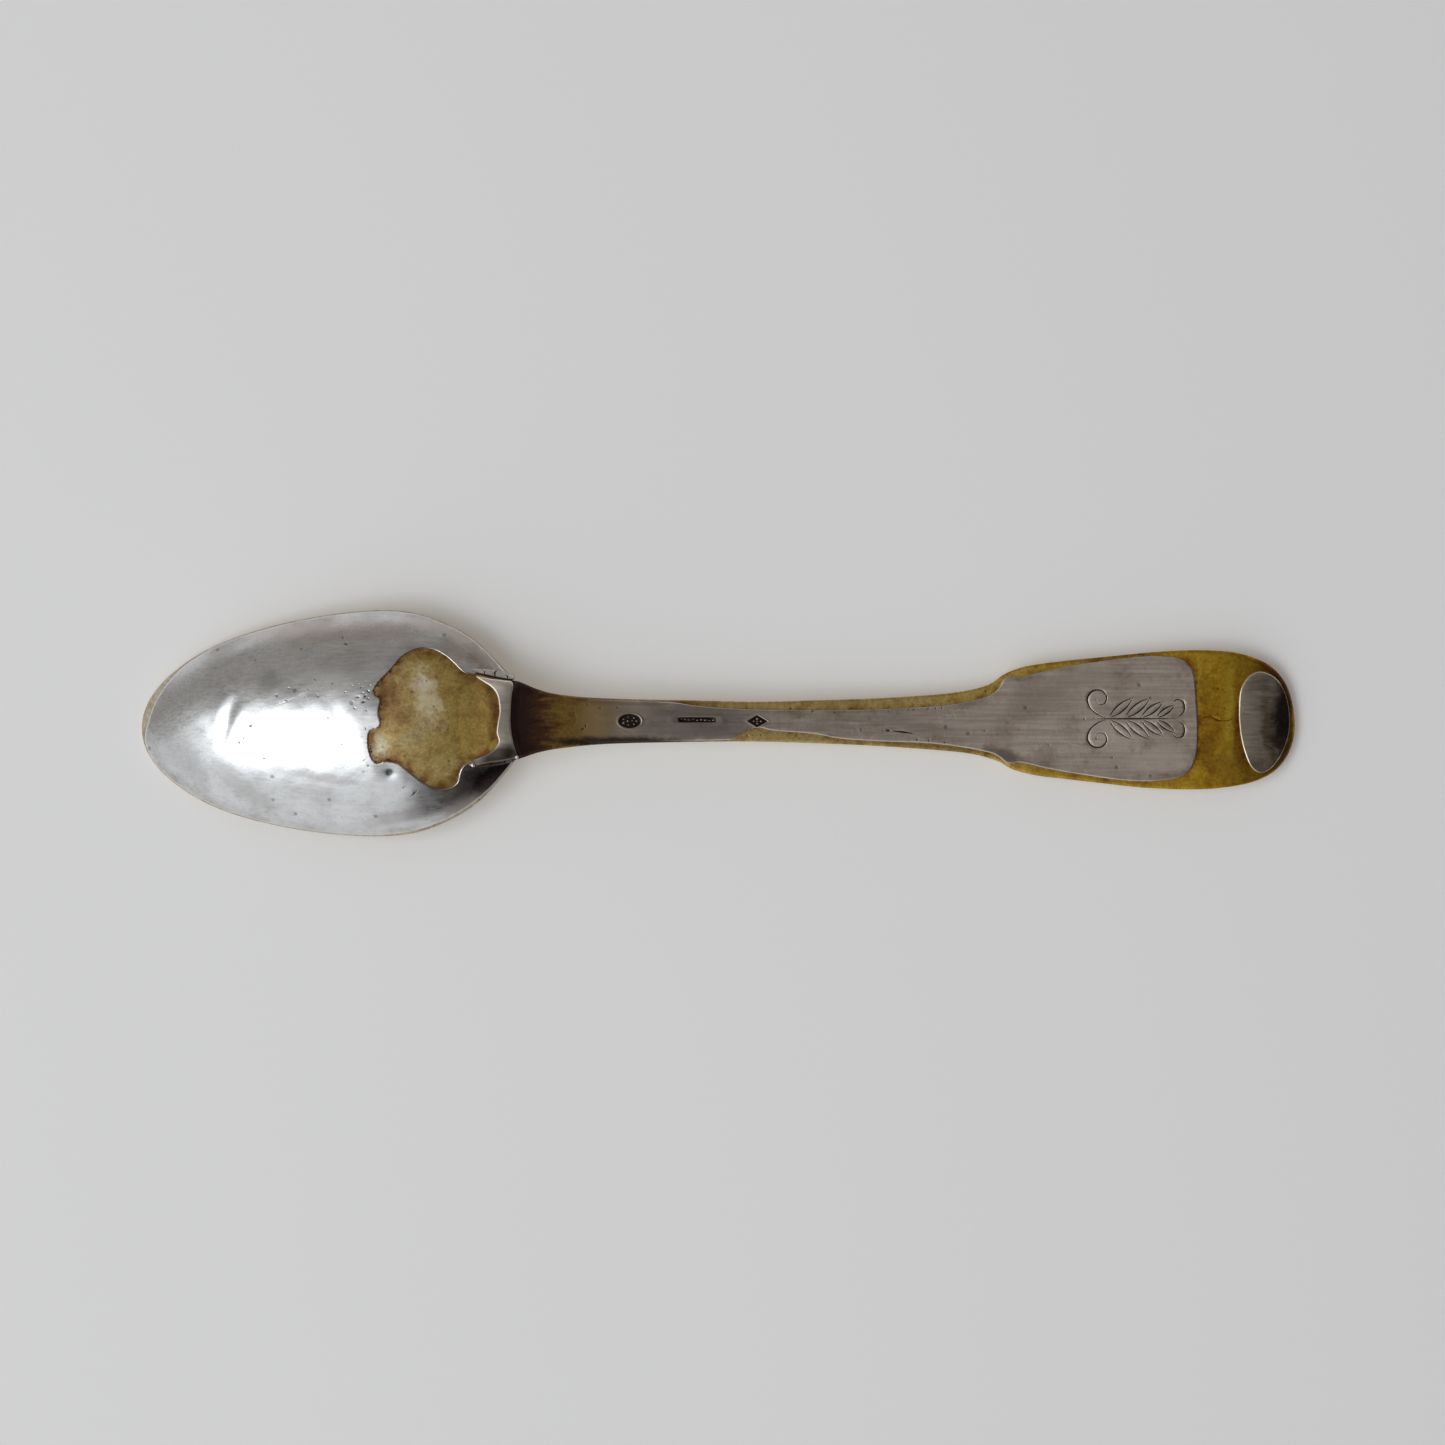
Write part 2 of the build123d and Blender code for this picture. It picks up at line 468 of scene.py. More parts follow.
@dataclass(frozen=True)
class BowlForm:
    """Shape of the bowl: a turned barrel, flattened, tilted and slightly bent to one side."""

    tilt: float = math.radians(5.5)
    yaw: float = math.radians(1.45)
    tip_side: float = -1.05
    flare: float = 0.82
    core: float = 6.5
    wall: float = 0.85
    sheer: float = 0.9
    squares: tuple[tuple[float, float], ...] = (
        (-3.0, -34.0), (0.0, 0.0), (4.0, 51.0), (8.0, 97.0), (13.0, 143.0), (18.0, 177.5), (24.0, 206.0),
        (30.0, 217.0), (35.0, 202.5), (39.0, 162.5), (43.0, 103.5), (46.0, 49.0), (49.0, 6.0), (52.0, -30.0),
    )
    # Height of each slow wave, its turn for each millimetre along and across, and its phase.
    waves: tuple[tuple[float, float, float, float], ...] = (
        (0.012, 0.61, 0.9, 0.6), (0.010, 1.13, -0.52, 2.1), (0.006, 1.9, 1.4, 0.0), (0.005, -1.7, 2.6, 1.0),
    )
    dents: tuple[Dent, ...] = (
        Dent((12.1, 3.2), (10.9, -0.6), 0.85, 0.15, 0.03),
        Dent((11.4, 1.0), (10.2, -3.6), 0.55, 0.06, 0.02),
        Dent((31.4, -6.3), (31.4, -6.3), 1.15, 0.16, 0.02),
        Dent((17.0, -6.3), (27.5, -8.4), 0.8, 0.035),
        Dent((28.0, -9.1), (29.6, -9.2), 1.5, -0.05),
        Dent((8.0, 4.6), (14.0, 7.0), 1.2, 0.03),
        Dent((28.0, 2.4), (28.0, 2.4), 1.5, 0.045),
        Dent((23.0, 8.2), (14.0, 5.6), 1.6, 0.05),
    )

    def radius(self, x: Array) -> Array:
        """Radius of the barrel at a station of the bowl's own axis."""
        knots = [(station, math.sqrt(square + self.core**2)) for station, square in self.squares]
        return natural_curve(knots)(x)

    def rim(self, x: Array) -> Array:
        """Height of the rim above its own plane."""
        sag = self.sheer * 0.35
        return natural_curve([(-6.0, -sag), (0.0, 0.0), (25.0, self.sheer), (50.0, 0.0), (56.0, -sag)])(x)

    def _raised(self, x: Array, y: Array, height: Callable[[Array, Array], Array]) -> Array:
        """Height over the table of a surface given in the bowl's own frame.

        Args:
            x: Stations.
            y: Sideways places.
            height: The surface's height over the rim plane, from the bowl's own stations and places.

        Returns:
            The heights over the table.
        """
        side = y - self.tip_side
        level = x * math.cos(self.yaw) + side * math.sin(self.yaw)
        own_y = -x * math.sin(self.yaw) + side * math.cos(self.yaw)
        own_z = np.zeros_like(level)
        for _ in range(4):
            own_x = (level + own_z * math.sin(self.tilt)) / math.cos(self.tilt)
            own_z = height(own_x, own_y)
        return own_x * math.sin(self.tilt) + own_z * math.cos(self.tilt)

    def _barrel(self, x: Array, y: Array) -> Array:
        """Upper surface of the barrel in the bowl's own frame."""
        square = self.radius(x) ** 2 - y**2
        return self.flare * (np.sqrt(np.maximum(square, 0.04)) - self.core)

    def handling(self, x: Array, y: Array) -> Array:
        """Dents and the slow unevenness of hand-worked metal."""
        waves = sum(height * np.sin(a * x + b * y + phase) for height, a, b, phase in self.waves)
        return waves + sum(dent.height(x, y) for dent in self.dents)

    def back(self, x: Array, y: Array) -> Array:
        """Height of the bowl's back over the table."""
        return self._raised(x, y, self._barrel) + self.handling(x, y)

    def inside(self, x: Array, y: Array) -> Array:
        """Height of the bowl's underside: its hollow, and the flat of the rim."""
        hollow = self._raised(x, y, lambda a, b: self._barrel(a, b) - self.wall) + self.handling(x, y)
        return np.maximum(hollow, self.rim_height(x, y))

    def rim_height(self, x: Array, y: Array) -> Array:
        """Height of the rim's flat over the table."""
        return self._raised(x, y, lambda a, b: self.rim(a))

    def outline(self, lip: float, step: float, drop: float = 0.0) -> Array:
        """Plan of the bowl at a height over its rim.

        Args:
            lip: Height over the rim at which the plan is taken.
            step: Distance between the outline's points.
            drop: How far under the bowl's back the surface lies; the wall gives the hollow's edge.

        Returns:
            The outline, anticlockwise from above, starting at the tip.
        """
        x = np.linspace(-2.0, 51.0, 4000)
        level = self.core + (self.rim(x) + lip + drop) / self.flare
        whole = x[self.radius(x) >= level]
        turn = np.linspace(0.0, math.pi, 400)
        own_x = whole[0] + (whole[-1] - whole[0]) * (1 - np.cos(turn)) / 2
        level = self.core + (self.rim(own_x) + lip + drop) / self.flare
        own_y = np.sqrt(np.maximum(self.radius(own_x) ** 2 - level**2, 0.0))
        own_x = np.concatenate([own_x, own_x[-2:0:-1]])
        own_y = np.concatenate([-own_y, own_y[-2:0:-1]])
        flat_x = own_x * math.cos(self.tilt) - (self.rim(own_x) + lip) * math.sin(self.tilt)
        x = flat_x * math.cos(self.yaw) - own_y * math.sin(self.yaw)
        y = flat_x * math.sin(self.yaw) + own_y * math.cos(self.yaw) + self.tip_side
        return evenly(np.column_stack([x, y]), step, closed=True)


@dataclass(frozen=True)
class HandleForm:
    """Shape of the handle: tongue over the bowl, neck, stem and the fiddle-shaped blade."""

    length: float = 145.0
    blade: tuple[float, float] = (108.0, 134.0)
    blade_back: float = 3.0
    blade_front: float = 1.2
    crest: float = 46.62
    crest_drop: float = 0.75
    root: float = 49.3
    let_in: float = 0.35
    back_curl: float = 37.35
    front_curl: float = 51.6
    curl_reach: float = 12.0
    left: tuple[tuple[float, float], ...] = (
        (41.6, 5.75), (44.2, 5.45), (46.2, 5.1), (47.6, 4.95), (50.1, 3.94), (53.1, 3.26), (59.0, 2.82),
        (70.6, 2.56), (77.6, 2.42), (85.1, 2.62), (92.9, 2.88), (101.8, 3.52), (106.3, 4.5), (108.5, 5.9),
        (111.1, 6.85), (115.2, 7.46), (120.0, 7.95), (128.5, 8.75), (134.2, 8.87), (138.1, 8.45),
        (141.5, 7.15), (143.6, 5.05), (144.6, 2.5),
    )
    end: tuple[float, float] = (144.97, -0.5)
    right: tuple[tuple[float, float], ...] = (
        (41.6, -5.45), (44.2, -5.2), (46.2, -4.9), (47.6, -4.75), (50.1, -3.94), (53.1, -3.4),
        (59.0, -2.86), (70.6, -2.6), (77.6, -2.58), (85.1, -2.8), (92.9, -3.15), (101.5, -3.78),
        (105.1, -4.28), (107.8, -5.1), (109.5, -6.05), (112.3, -6.8), (115.7, -7.22), (121.0, -7.84),
        (126.2, -8.38), (131.5, -8.58), (135.5, -8.4), (139.4, -7.72), (142.1, -6.5), (143.8, -4.7),
        (144.7, -2.6),
    )

    def outline(self, step: float) -> Array:
        """Plan of the handle, anticlockwise, with the tongue's front rounded."""
        front = [(40.6, 3.6), (40.3, 0.0), (40.6, -3.4)]
        return flowing([*front, *self.right, self.end, *self.left[::-1]], step, closed=True)

    def back_line(self, x: Array) -> Array:
        """Height of the middle of the handle's back.

        Args:
            x: Stations.

        Returns:
            The heights over the table.
        """
        tongue = natural_curve(
            [(38.0, 9.72), (41.0, 9.4), (44.0, 9.06), (46.0, 8.74), (self.crest, 8.6), (47.6, 8.4)]
        )(x)
        neck = natural_curve(
            [
                (47.0, 7.95), (48.2, 7.6), (50.4, 7.2), (54.0, 6.62), (62.0, 5.78), (74.0, 4.82),
                (88.0, 3.88), (100.0, 3.22), (self.blade[0], self.blade_back),
            ]
        )(x)
        step_down = eased(self.crest, self.crest + self.crest_drop, x)
        return tongue * (1 - step_down) + neck * step_down - self.curl(x, self.back_curl)

    def curl(self, x: Array, radius: float) -> Array:
        """How far the handle's end is turned down, along an arc of a given radius."""
        return radius - np.sqrt(radius**2 - np.clip(x - self.blade[1], 0.0, self.curl_reach) ** 2)

    def crest_bend(self, y: Array) -> Array:
        """How far the crest of the heel lies back from its middle."""
        return np.where(y > 0, 0.013, 0.05) * y**2

    def front_line(self, x: Array) -> Array:
        """Height of the middle of the handle's front, which faces the table.

        Args:
            x: Stations.

        Returns:
            The heights over the table.
        """
        line = natural_curve(
            [
                (46.0, 4.5), (50.0, 4.45), (56.0, 3.55), (66.0, 2.6), (80.0, 1.8), (94.0, 1.36),
                (self.blade[0], self.blade_front),
            ]
        )(x)
        return line - self.curl(x, self.front_curl)


class SpoonForm:
    """Heights of the whole spoon's metal: bowl and handle together."""

    def __init__(self) -> None:
        """Set out the two forms and the handle's edge."""
        self.bowl = BowlForm()
        self.handle = HandleForm()
        self.handle_loop = self.handle.outline(0.16)
        self.handle_edge = Path(self.handle_loop, closed=True)

    def handle_back(self, x: Array, y: Array) -> Array:
        """Height of the handle's back: rounded edges, and a tongue that runs out onto the bowl.

        Args:
            x: Stations.
            y: Sideways places.

        Returns:
            The heights over the table.
        """
        away = self.handle_edge.distance(x, y)
        near_neck = 1 - eased(62.0, 78.0, x)
        near_end = eased(136.0, 143.0, x)
        round_width = 0.34 + 0.5 * near_neck + 0.25 * near_end
        round_depth = (0.24 + 0.34 * near_neck + 0.2 * near_end) * eased(41.5, 44.0, x)
        bent = x - self.handle.crest_bend(y) * eased(44.0, 46.0, x) * (1 - eased(48.0, 50.0, x))
        flat = self.handle.back_line(bent) - round_depth * (1 - rounded(away, round_width))
        flat -= (0.008 + 0.026 * (1 - eased(41.0, 46.5, x))) * y**2 * (1 - eased(46.5, 49.0, x))
        flat -= 0.06 * (y / 3.0) ** 2 * (1 - eased(90.0, 106.0, x)) * eased(48.0, 52.0, x)
        flat += 0.008 * np.sin(0.31 * x + 0.4) * np.sin(0.5 * y + 1.2)
        tongue = soft_max(self.bowl.back(x, y) + 0.012, flat, 0.3 + 0.5 * (1 - eased(41.0, 43.0, x)))
        return np.where(x < self.handle.crest + 1.6, tongue, flat)

    def handle_front(self, x: Array, y: Array) -> Array:
        """Height of the handle's front, let into the bowl's back under the tongue.

        Args:
            x: Stations.
            y: Sideways places.

        Returns:
            The heights over the table.
        """
        away = self.handle_edge.distance(x, y)
        face = self.handle.front_line(x) + 0.3 * (1 - rounded(away, 0.5))
        let_in = np.maximum(self.bowl.back(x, y) - self.handle.let_in, face)
        return np.where(x < self.handle.root, let_in, face)


# ---------------- reliefs


@dataclass(frozen=True)
class Cut:
    """Engraved line: a sharp groove that swells and thins along its length."""

    points: tuple[tuple[float, float], ...]
    width: float = 0.1
    swell: float = 0.08
    depth: float = 0.075

    def path(self) -> Path:
        """The line as a path."""
        return Path(flowing(self.points, 0.05), step=0.05)

    def refine(self) -> Array:
        """Points for a fine mesh along the groove.

        Returns:
            The points, in rows beside the line.
        """
        line = evenly(self.path().points, 0.09)
        across = left_of(np.gradient(line, axis=0))
        reach = self.width + self.swell
        shares = (-1.25, -0.75, -0.35, 0, 0.35, 0.75, 1.25)
        return np.vstack([line + across * share * reach for share in shares])

    def depth_at(self, x: Array, y: Array) -> Array:
        """Depth of the groove at each point.

        Args:
            x: Stations.
            y: Sideways places.

        Returns:
            The depths, nothing beside the groove.
        """
        away, share = self.path().nearest(x, y)
        half = self.width * np.minimum(1.0, 0.25 + 5 * np.minimum(share, 1 - share))
        half = half + self.swell * np.sin(math.pi * share) ** 2
        return self.depth * np.clip(1 - away / half, 0.0, 1.0) * (half / (self.width + self.swell)) ** 0.5


class MarkShape(Enum):
    """Outer shape of a punched mark."""

    OVAL = "oval"
    BAR = "bar"
    LOZENGE = "lozenge"


@dataclass(frozen=True)
class Punch:
    """Punched mark: a sunk field with a low burr round it."""

    shape: MarkShape
    centre: tuple[float, float]
    half_length: float
    half_width: float
    depth: float = 0.13
    wall: float = 0.12

    def reach(self, x: Array, y: Array) -> Array:
        """Signed reach of each point: below 1 inside the field.

        Args:
            x: Stations.
            y: Sideways places.

        Returns:
            The reach of each point, 1 on the field's edge.
        """
        u = np.abs(x - self.centre[0]) / self.half_length
        v = np.abs(y - self.centre[1]) / self.half_width
        if self.shape is MarkShape.OVAL:
            return np.hypot(u, v)
        if self.shape is MarkShape.LOZENGE:
            return u + v
        return (u**8 + v**8) ** 0.125

    def refine(self) -> Array:
        """Points for a fine mesh over the mark.

        Returns:
            The points of an even grid over the mark.
        """
        step = 0.06
        x = np.arange(-self.half_length - 0.3, self.half_length + 0.3, step) + self.centre[0]
        y = np.arange(-self.half_width - 0.3, self.half_width + 0.3, step) + self.centre[1]
        grid = np.stack(np.meshgrid(x, y), -1).reshape(-1, 2)
        return grid[self.reach(*grid.T) < 1.35]

    def depth_at(self, x: Array, y: Array) -> Array:
        """Depth of the mark at each point, below nothing on the burr.

        Args:
            x: Stations.
            y: Sideways places.

        Returns:
            The depths.
        """
        inward = (1 - self.reach(x, y)) * min(self.half_length, self.half_width)
        field = eased(0.0, self.wall, inward)
        burr = np.exp(-((inward + 0.09) ** 2) / 0.0045)
        return self.depth * field - 0.028 * burr


@dataclass(frozen=True)
class Pit:
    """Small corrosion pit."""

    centre: tuple[float, float]
    radius: float
    depth: float = 0.035
    stretch: float = 1.45

    def refine(self) -> Array:
        """Points for a fine mesh over the pit.

        Returns:
            The pit's middle and the points of rings round it.
        """
        rings = [(0.0, 0.0)]
        for share in (0.3, 0.6, 0.9, 1.2, 1.6):
            reach = share * self.radius
            for turn in np.linspace(0, 2 * math.pi, 12, endpoint=False):
                rings.append((reach * math.cos(turn), reach * math.sin(turn)))
        return np.array(rings) + self.centre

    def depth_at(self, x: Array, y: Array) -> Array:
        """Depth of the pit at each point.

        Args:
            x: Stations.
            y: Sideways places.

        Returns:
            The depths.
        """
        turn = 7.3 * self.centre[0] + 3.1 * self.centre[1]
        dx, dy = x - self.centre[0], y - self.centre[1]
        along = (dx * math.cos(turn) + dy * math.sin(turn)) / self.stretch
        across = (dy * math.cos(turn) - dx * math.sin(turn)) * self.stretch
        away = np.hypot(along, across) / self.radius
        return self.depth * np.exp(-(away**2) * 2.2)


Feature = Cut | Punch | Pit


def mirrored(cuts: Sequence[Cut], axis: float) -> list[Cut]:
    """The same cuts on the other side of a line along the spoon."""
    return [replace(cut, points=tuple((x, 2 * axis - y) for x, y in cut.points)) for cut in cuts]


def depth_of(features: Sequence[Feature], x: Array, y: Array) -> Array:
    """Deepest cut at each point; a burr counts where nothing is cut."""
    depths = np.array([feature.depth_at(x, y) for feature in features])
    return np.where(depths.max(0) > 0.002, depths.max(0), depths.min(0))


# ---------------- shader graphs


class Graph:
    """Short way to add and join nodes."""

    def __init__(self, tree: NodeTree) -> None:
        """Work on a node tree."""
        self.tree = tree

    def node(self, kind: str, inputs: dict | None = None, **properties: object) -> Node:
        """Add a node.

        Args:
            kind: The node's type name, which goes without its prefix on a shader node.
            inputs: Values or sockets by input name or number.
            properties: Node properties to set first.

        Returns:
            The new node.
        """
        whole = kind.startswith(("Node", "GeometryNode", "FunctionNode"))
        added = self.tree.nodes.new(kind if whole else "ShaderNode" + kind)
        for name, value in properties.items():
            setattr(added, name, value)
        for name, value in (inputs or {}).items():
            self.feed(added.inputs[name], value)
        return added

    def feed(self, socket: Socket, value: object) -> None:
        """Join a socket to another socket, or give it a value.

        Args:
            socket: The input.
            value: Another socket, a number, a vector or a colour.
        """
        if isinstance(value, Socket):
            self.tree.links.new(value, socket)
        elif isinstance(value, tuple) and len(value) == 3 and socket.type == "RGBA":
            socket.default_value = (*value, 1.0)
        else:
            socket.default_value = value

    def math(self, operation: str, a: object, b: object = 0.0, clamp: bool = False) -> Socket:
        """Result of a Math node."""
        return self.node("Math", {0: a, 1: b}, operation=operation, use_clamp=clamp).outputs[0]

    def plus(self, a: object, b: object, clamp: bool = False) -> Socket:
        """Sum of two values, held from 0 to 1 where clamp is set."""
        return self.math("ADD", a, b, clamp)

    def less(self, a: object, b: object) -> Socket:
        """First value less the second."""
        return self.math("SUBTRACT", a, b)

    def times(self, a: object, b: object) -> Socket:
        """Product of two values."""
        return self.math("MULTIPLY", a, b)

    def stretch(self, vector: object, by: object) -> Socket:
        """Vector with each part multiplied by its own factor."""
        return self.node("VectorMath", {0: vector, 1: by}, operation="MULTIPLY").outputs[0]

    def dress(self, colour: object, metallic: object, rough: object, normal: object) -> None:
        """Lead the values to a metal's shader and on to the material's output."""
        inputs = {"Base Color": colour, "Metallic": metallic, "Roughness": rough, "Normal": normal}
        self.node("OutputMaterial", {"Surface": self.node("BsdfPrincipled", inputs).outputs[0]})

    def mix(self, share: object, a: object, b: object, blend: str = "MIX") -> Socket:
        """Result of mixing two colours.

        Args:
            share: How much of the second colour.
            a: The first colour.
            b: The second colour.
            blend: Way of mixing, by its node name.

        Returns:
            The mixed colour.
        """
        mixed = self.node("Mix", data_type="RGBA", blend_type=blend, clamp_factor=True)
        colours = [socket for socket in mixed.inputs if socket.type == "RGBA"]
        self.feed(mixed.inputs[0], share)
        self.feed(colours[0], a)
        self.feed(colours[1], b)
        return next(socket for socket in mixed.outputs if socket.type == "RGBA")

    def band(
        self, value: object, low: float, high: float, out_low: float = 0.0, out_high: float = 1.0
    ) -> Socket:
        """Smooth map of a value from one range to another."""
        inputs = {"Value": value, "From Min": low, "From Max": high, "To Min": out_low, "To Max": out_high}
        return self.node("MapRange", inputs, interpolation_type="SMOOTHSTEP").outputs[0]

    def noise(self, where: object, scale: float, detail: float = 3.0, roughness: float = 0.55) -> Socket:
        """Noise value at a place."""
        inputs = {"Vector": where, "Scale": scale, "Detail": detail, "Roughness": roughness}
        return self.node("TexNoise", inputs).outputs["Fac"]


def new_group(
    name: str, inputs: Sequence[tuple[str, str, object]], outputs: Sequence[tuple[str, str]]
) -> tuple[Graph, dict, Node]:
    """Empty shader node group with named sockets.

    Args:
        name: Name of the group.
        inputs: Name, socket type and default value of each input.
        outputs: Name and socket type of each output.

    Returns:
        The group's graph, its inputs by name, and its output node.
    """
    tree = bpy.data.node_groups.new(name, "ShaderNodeTree")
    for label, kind, value in inputs:
        socket = tree.interface.new_socket(label, in_out="INPUT", socket_type=kind)
        if value is not None:
            socket.default_value = (*value, 1.0) if kind == "NodeSocketColor" else value
    for label, kind in outputs:
        tree.interface.new_socket(label, in_out="OUTPUT", socket_type=kind)
    graph = Graph(tree)
    entry = graph.node("NodeGroupInput")
    return graph, {socket.name: socket for socket in entry.outputs}, graph.node("NodeGroupOutput")


FLOAT, COLOUR, VECTOR = "NodeSocketFloat", "NodeSocketColor", "NodeSocketVector"


def set_tones(ramp: bpy.types.ColorRamp, tones: Sequence[tuple[float, tuple[float, float, float]]]) -> None:
    """Set a colour ramp's elements from places and tones in rising order.

    Args:
        ramp: The colour ramp.
        tones: Each element's place and tone.
    """
    while len(ramp.elements) < len(tones):
        ramp.elements.new(0.5)
    for element, (position, _) in zip(ramp.elements, tones):
        element.position = position
    for element, (_, tone) in zip(ramp.elements, tones):
        element.color = (*tone, 1.0)


class Effects:
    """Shader node groups that several finishes share."""

    def __init__(self, place: Place, length: float) -> None:
        """Build each group once.

        Args:
            place: Where the spoon lies.
            length: Length of the spoon in millimetres.
        """
        self.grain = self._grain()
        self.scratches = self._scratches()
        self.patina = self._patina()
        self.pitting = self._pitting()
        self.blot = self._blot()
        self.neck = self._neck(place, length)

    @staticmethod
    def _blot() -> NodeTree:
        """Soft uneven area round a place.

        Returns:
            The group's tree.
        """
        graph, given, out = new_group(
            "blot",
            [
                ("Vector", VECTOR, None), ("Centre", VECTOR, None), ("Scale", VECTOR, None),
                ("Turn", FLOAT, 0.0), ("Ragged", FLOAT, 1.0),
            ],
            [("Mask", FLOAT)],
        )
        inputs = {0: given["Vector"], 1: given["Centre"]}
        moved = graph.node("VectorMath", inputs, operation="SUBTRACT").outputs[0]
        inputs = {"Vector": moved, "Angle": given["Turn"]}
        turned = graph.node("VectorRotate", inputs, rotation_type="Z_AXIS").outputs[0]
        sized = graph.stretch(turned, given["Scale"])
        reach = graph.node("VectorMath", {0: sized}, operation="LENGTH").outputs["Value"]
        noise = graph.less(graph.noise(given["Vector"], 700.0, 5.0, 0.65), 0.5)
        rough = graph.times(noise, graph.times(given["Ragged"], 1.6))
        mask = graph.band(graph.plus(reach, rough), 0.4, 1.2, 1.0, 0.0)
        graph.feed(out.inputs["Mask"], mask)
        return graph.tree

    @staticmethod
    def _neck(place: Place, length: float) -> NodeTree:
        """Tones of the bare metal along the spoon, with painted shade in the neck behind the heel's crest,
        and how far the silver is worn off towards the neck.

        Args:
            place: Where the spoon lies.
            length: Length of the spoon in millimetres.

        Returns:
            The group's tree.
        """
        outputs = [("Color", COLOUR), ("Bare", FLOAT)]
        graph, given, out = new_group("bare_metal_and_neck_shade", [("Vector", VECTOR, None)], outputs)
        station = graph.node("SeparateXYZ", {0: given["Vector"]}).outputs[0]
        cloud = graph.less(graph.noise(given["Vector"], 330.0, 4.0, 0.6), 0.5)
        stretch = graph.stretch(given["Vector"], (80.0, 1500.0, 1500.0))
        streak = graph.less(graph.noise(stretch, 1.0, 4.0, 0.65), 0.5)
        reach = graph.band(station, place.tip + 47.2 * MM, place.tip + 51.0 * MM, 0.0, 8.0 * MM)
        wavy = graph.plus(station, graph.times(cloud, 1.2 * MM))
        wavy = graph.plus(wavy, graph.times(streak, reach))
        inputs = {"Value": wavy, "From Min": place.tip, "From Max": place.tip + length * MM}
        share = graph.node("MapRange", inputs).outputs[0]
        ramp = graph.node("ValToRGB", {"Fac": share})
        # The near-black tones from 46.1 to 50.8 mm are painted shade on the neck's steep face just behind the
        # heel's crest.
        tones = (
            (0.0, (0.6, 0.52, 0.42)), (29.0, (0.64, 0.49, 0.24)), (40.0, (0.53, 0.37, 0.11)),
            (45.4, (0.46, 0.31, 0.07)), (46.1, (0.03, 0.012, 0.009)), (48.6, (0.035, 0.013, 0.009)),
            (50.8, (0.095, 0.036, 0.016)), (53.0, (0.31, 0.19, 0.05)), (60.0, (0.31, 0.21, 0.09)),
            (74.0, (0.58, 0.44, 0.2)), (100.0, (0.58, 0.43, 0.17)), (112.0, (0.56, 0.38, 0.075)),
            (134.0, (0.54, 0.33, 0.028)), (145.0, (0.46, 0.26, 0.03)),
        )
        set_tones(ramp.color_ramp, [(station / length, tone) for station, tone in tones])
        uneven = graph.plus(station, graph.times(cloud, 6 * MM))
        worn = graph.band(uneven, place.tip + 54.5 * MM, place.tip + 65.0 * MM, 1.0, 0.0)
        ends = graph.band(station, place.tip + 63.0 * MM, place.tip + 68.0 * MM, 1.0, 0.0)
        silvered = graph.times(graph.less(1.0, worn), ends)
        graph.feed(out.inputs["Color"], graph.mix(silvered, ramp.outputs["Color"], (0.37, 0.3, 0.26)))
        bare = graph.band(station, place.tip + 58.0 * MM, place.tip + 67.0 * MM, 1.0, 0.0)
        graph.feed(out.inputs["Bare"], bare)
        return graph.tree

    @staticmethod
    def _grain() -> NodeTree:
        """Rubbed grain: fine streaks along the spoon.

        Returns:
            The group's tree.
        """
        graph, given, out = new_group(
            "rubbed_grain",
            [("Vector", VECTOR, None), ("Along", FLOAT, 90.0), ("Across", FLOAT, 3200.0)],
            [("Streaks", FLOAT)],
        )
        inputs = {0: given["Along"], 1: given["Across"], 2: given["Across"]}
        stretch = graph.node("CombineXYZ", inputs).outputs[0]
        turned = graph.stretch(given["Vector"], stretch)
        fine = graph.noise(turned, 1.0, 3.0, 0.6)
        graph.feed(out.inputs["Streaks"], fine)
        return graph.tree

    @staticmethod
    def _scratches() -> NodeTree:
        """Thin scratches that cross at a few angles.

        Returns:
            The group's tree.
        """
        graph, given, out = new_group(
            "fine_scratches",
            [("Vector", VECTOR, None), ("Density", FLOAT, 0.5)],
            [("Lines", FLOAT)],
        )
        lines: object = 0.0
        directions = ((0.35, 55.0, 900.0, 3.1), (-0.7, 70.0, 1100.0, 9.7), (1.25, 60.0, 800.0, 5.3))
        for turn, along, across, seed in directions:
            inputs = {"Vector": given["Vector"], "Rotation": (0.0, 0.0, turn), "Location": (seed, seed, 0.0)}
            turned = graph.node("Mapping", inputs).outputs[0]
            stretch = graph.stretch(turned, (along, across, 40.0))
            value = graph.noise(stretch, 1.0, 1.5, 0.5)
            near = graph.math("ABSOLUTE", graph.less(value, 0.5))
            line = graph.band(near, 0.0, 0.012, 1.0, 0.0)
            patchy = graph.band(graph.noise(turned, 160.0, 1.0), 0.52, 0.64)
            lines = graph.math("MAXIMUM", lines, graph.times(line, patchy))
        graph.feed(out.inputs["Lines"], graph.times(lines, given["Density"]))
        return graph.tree

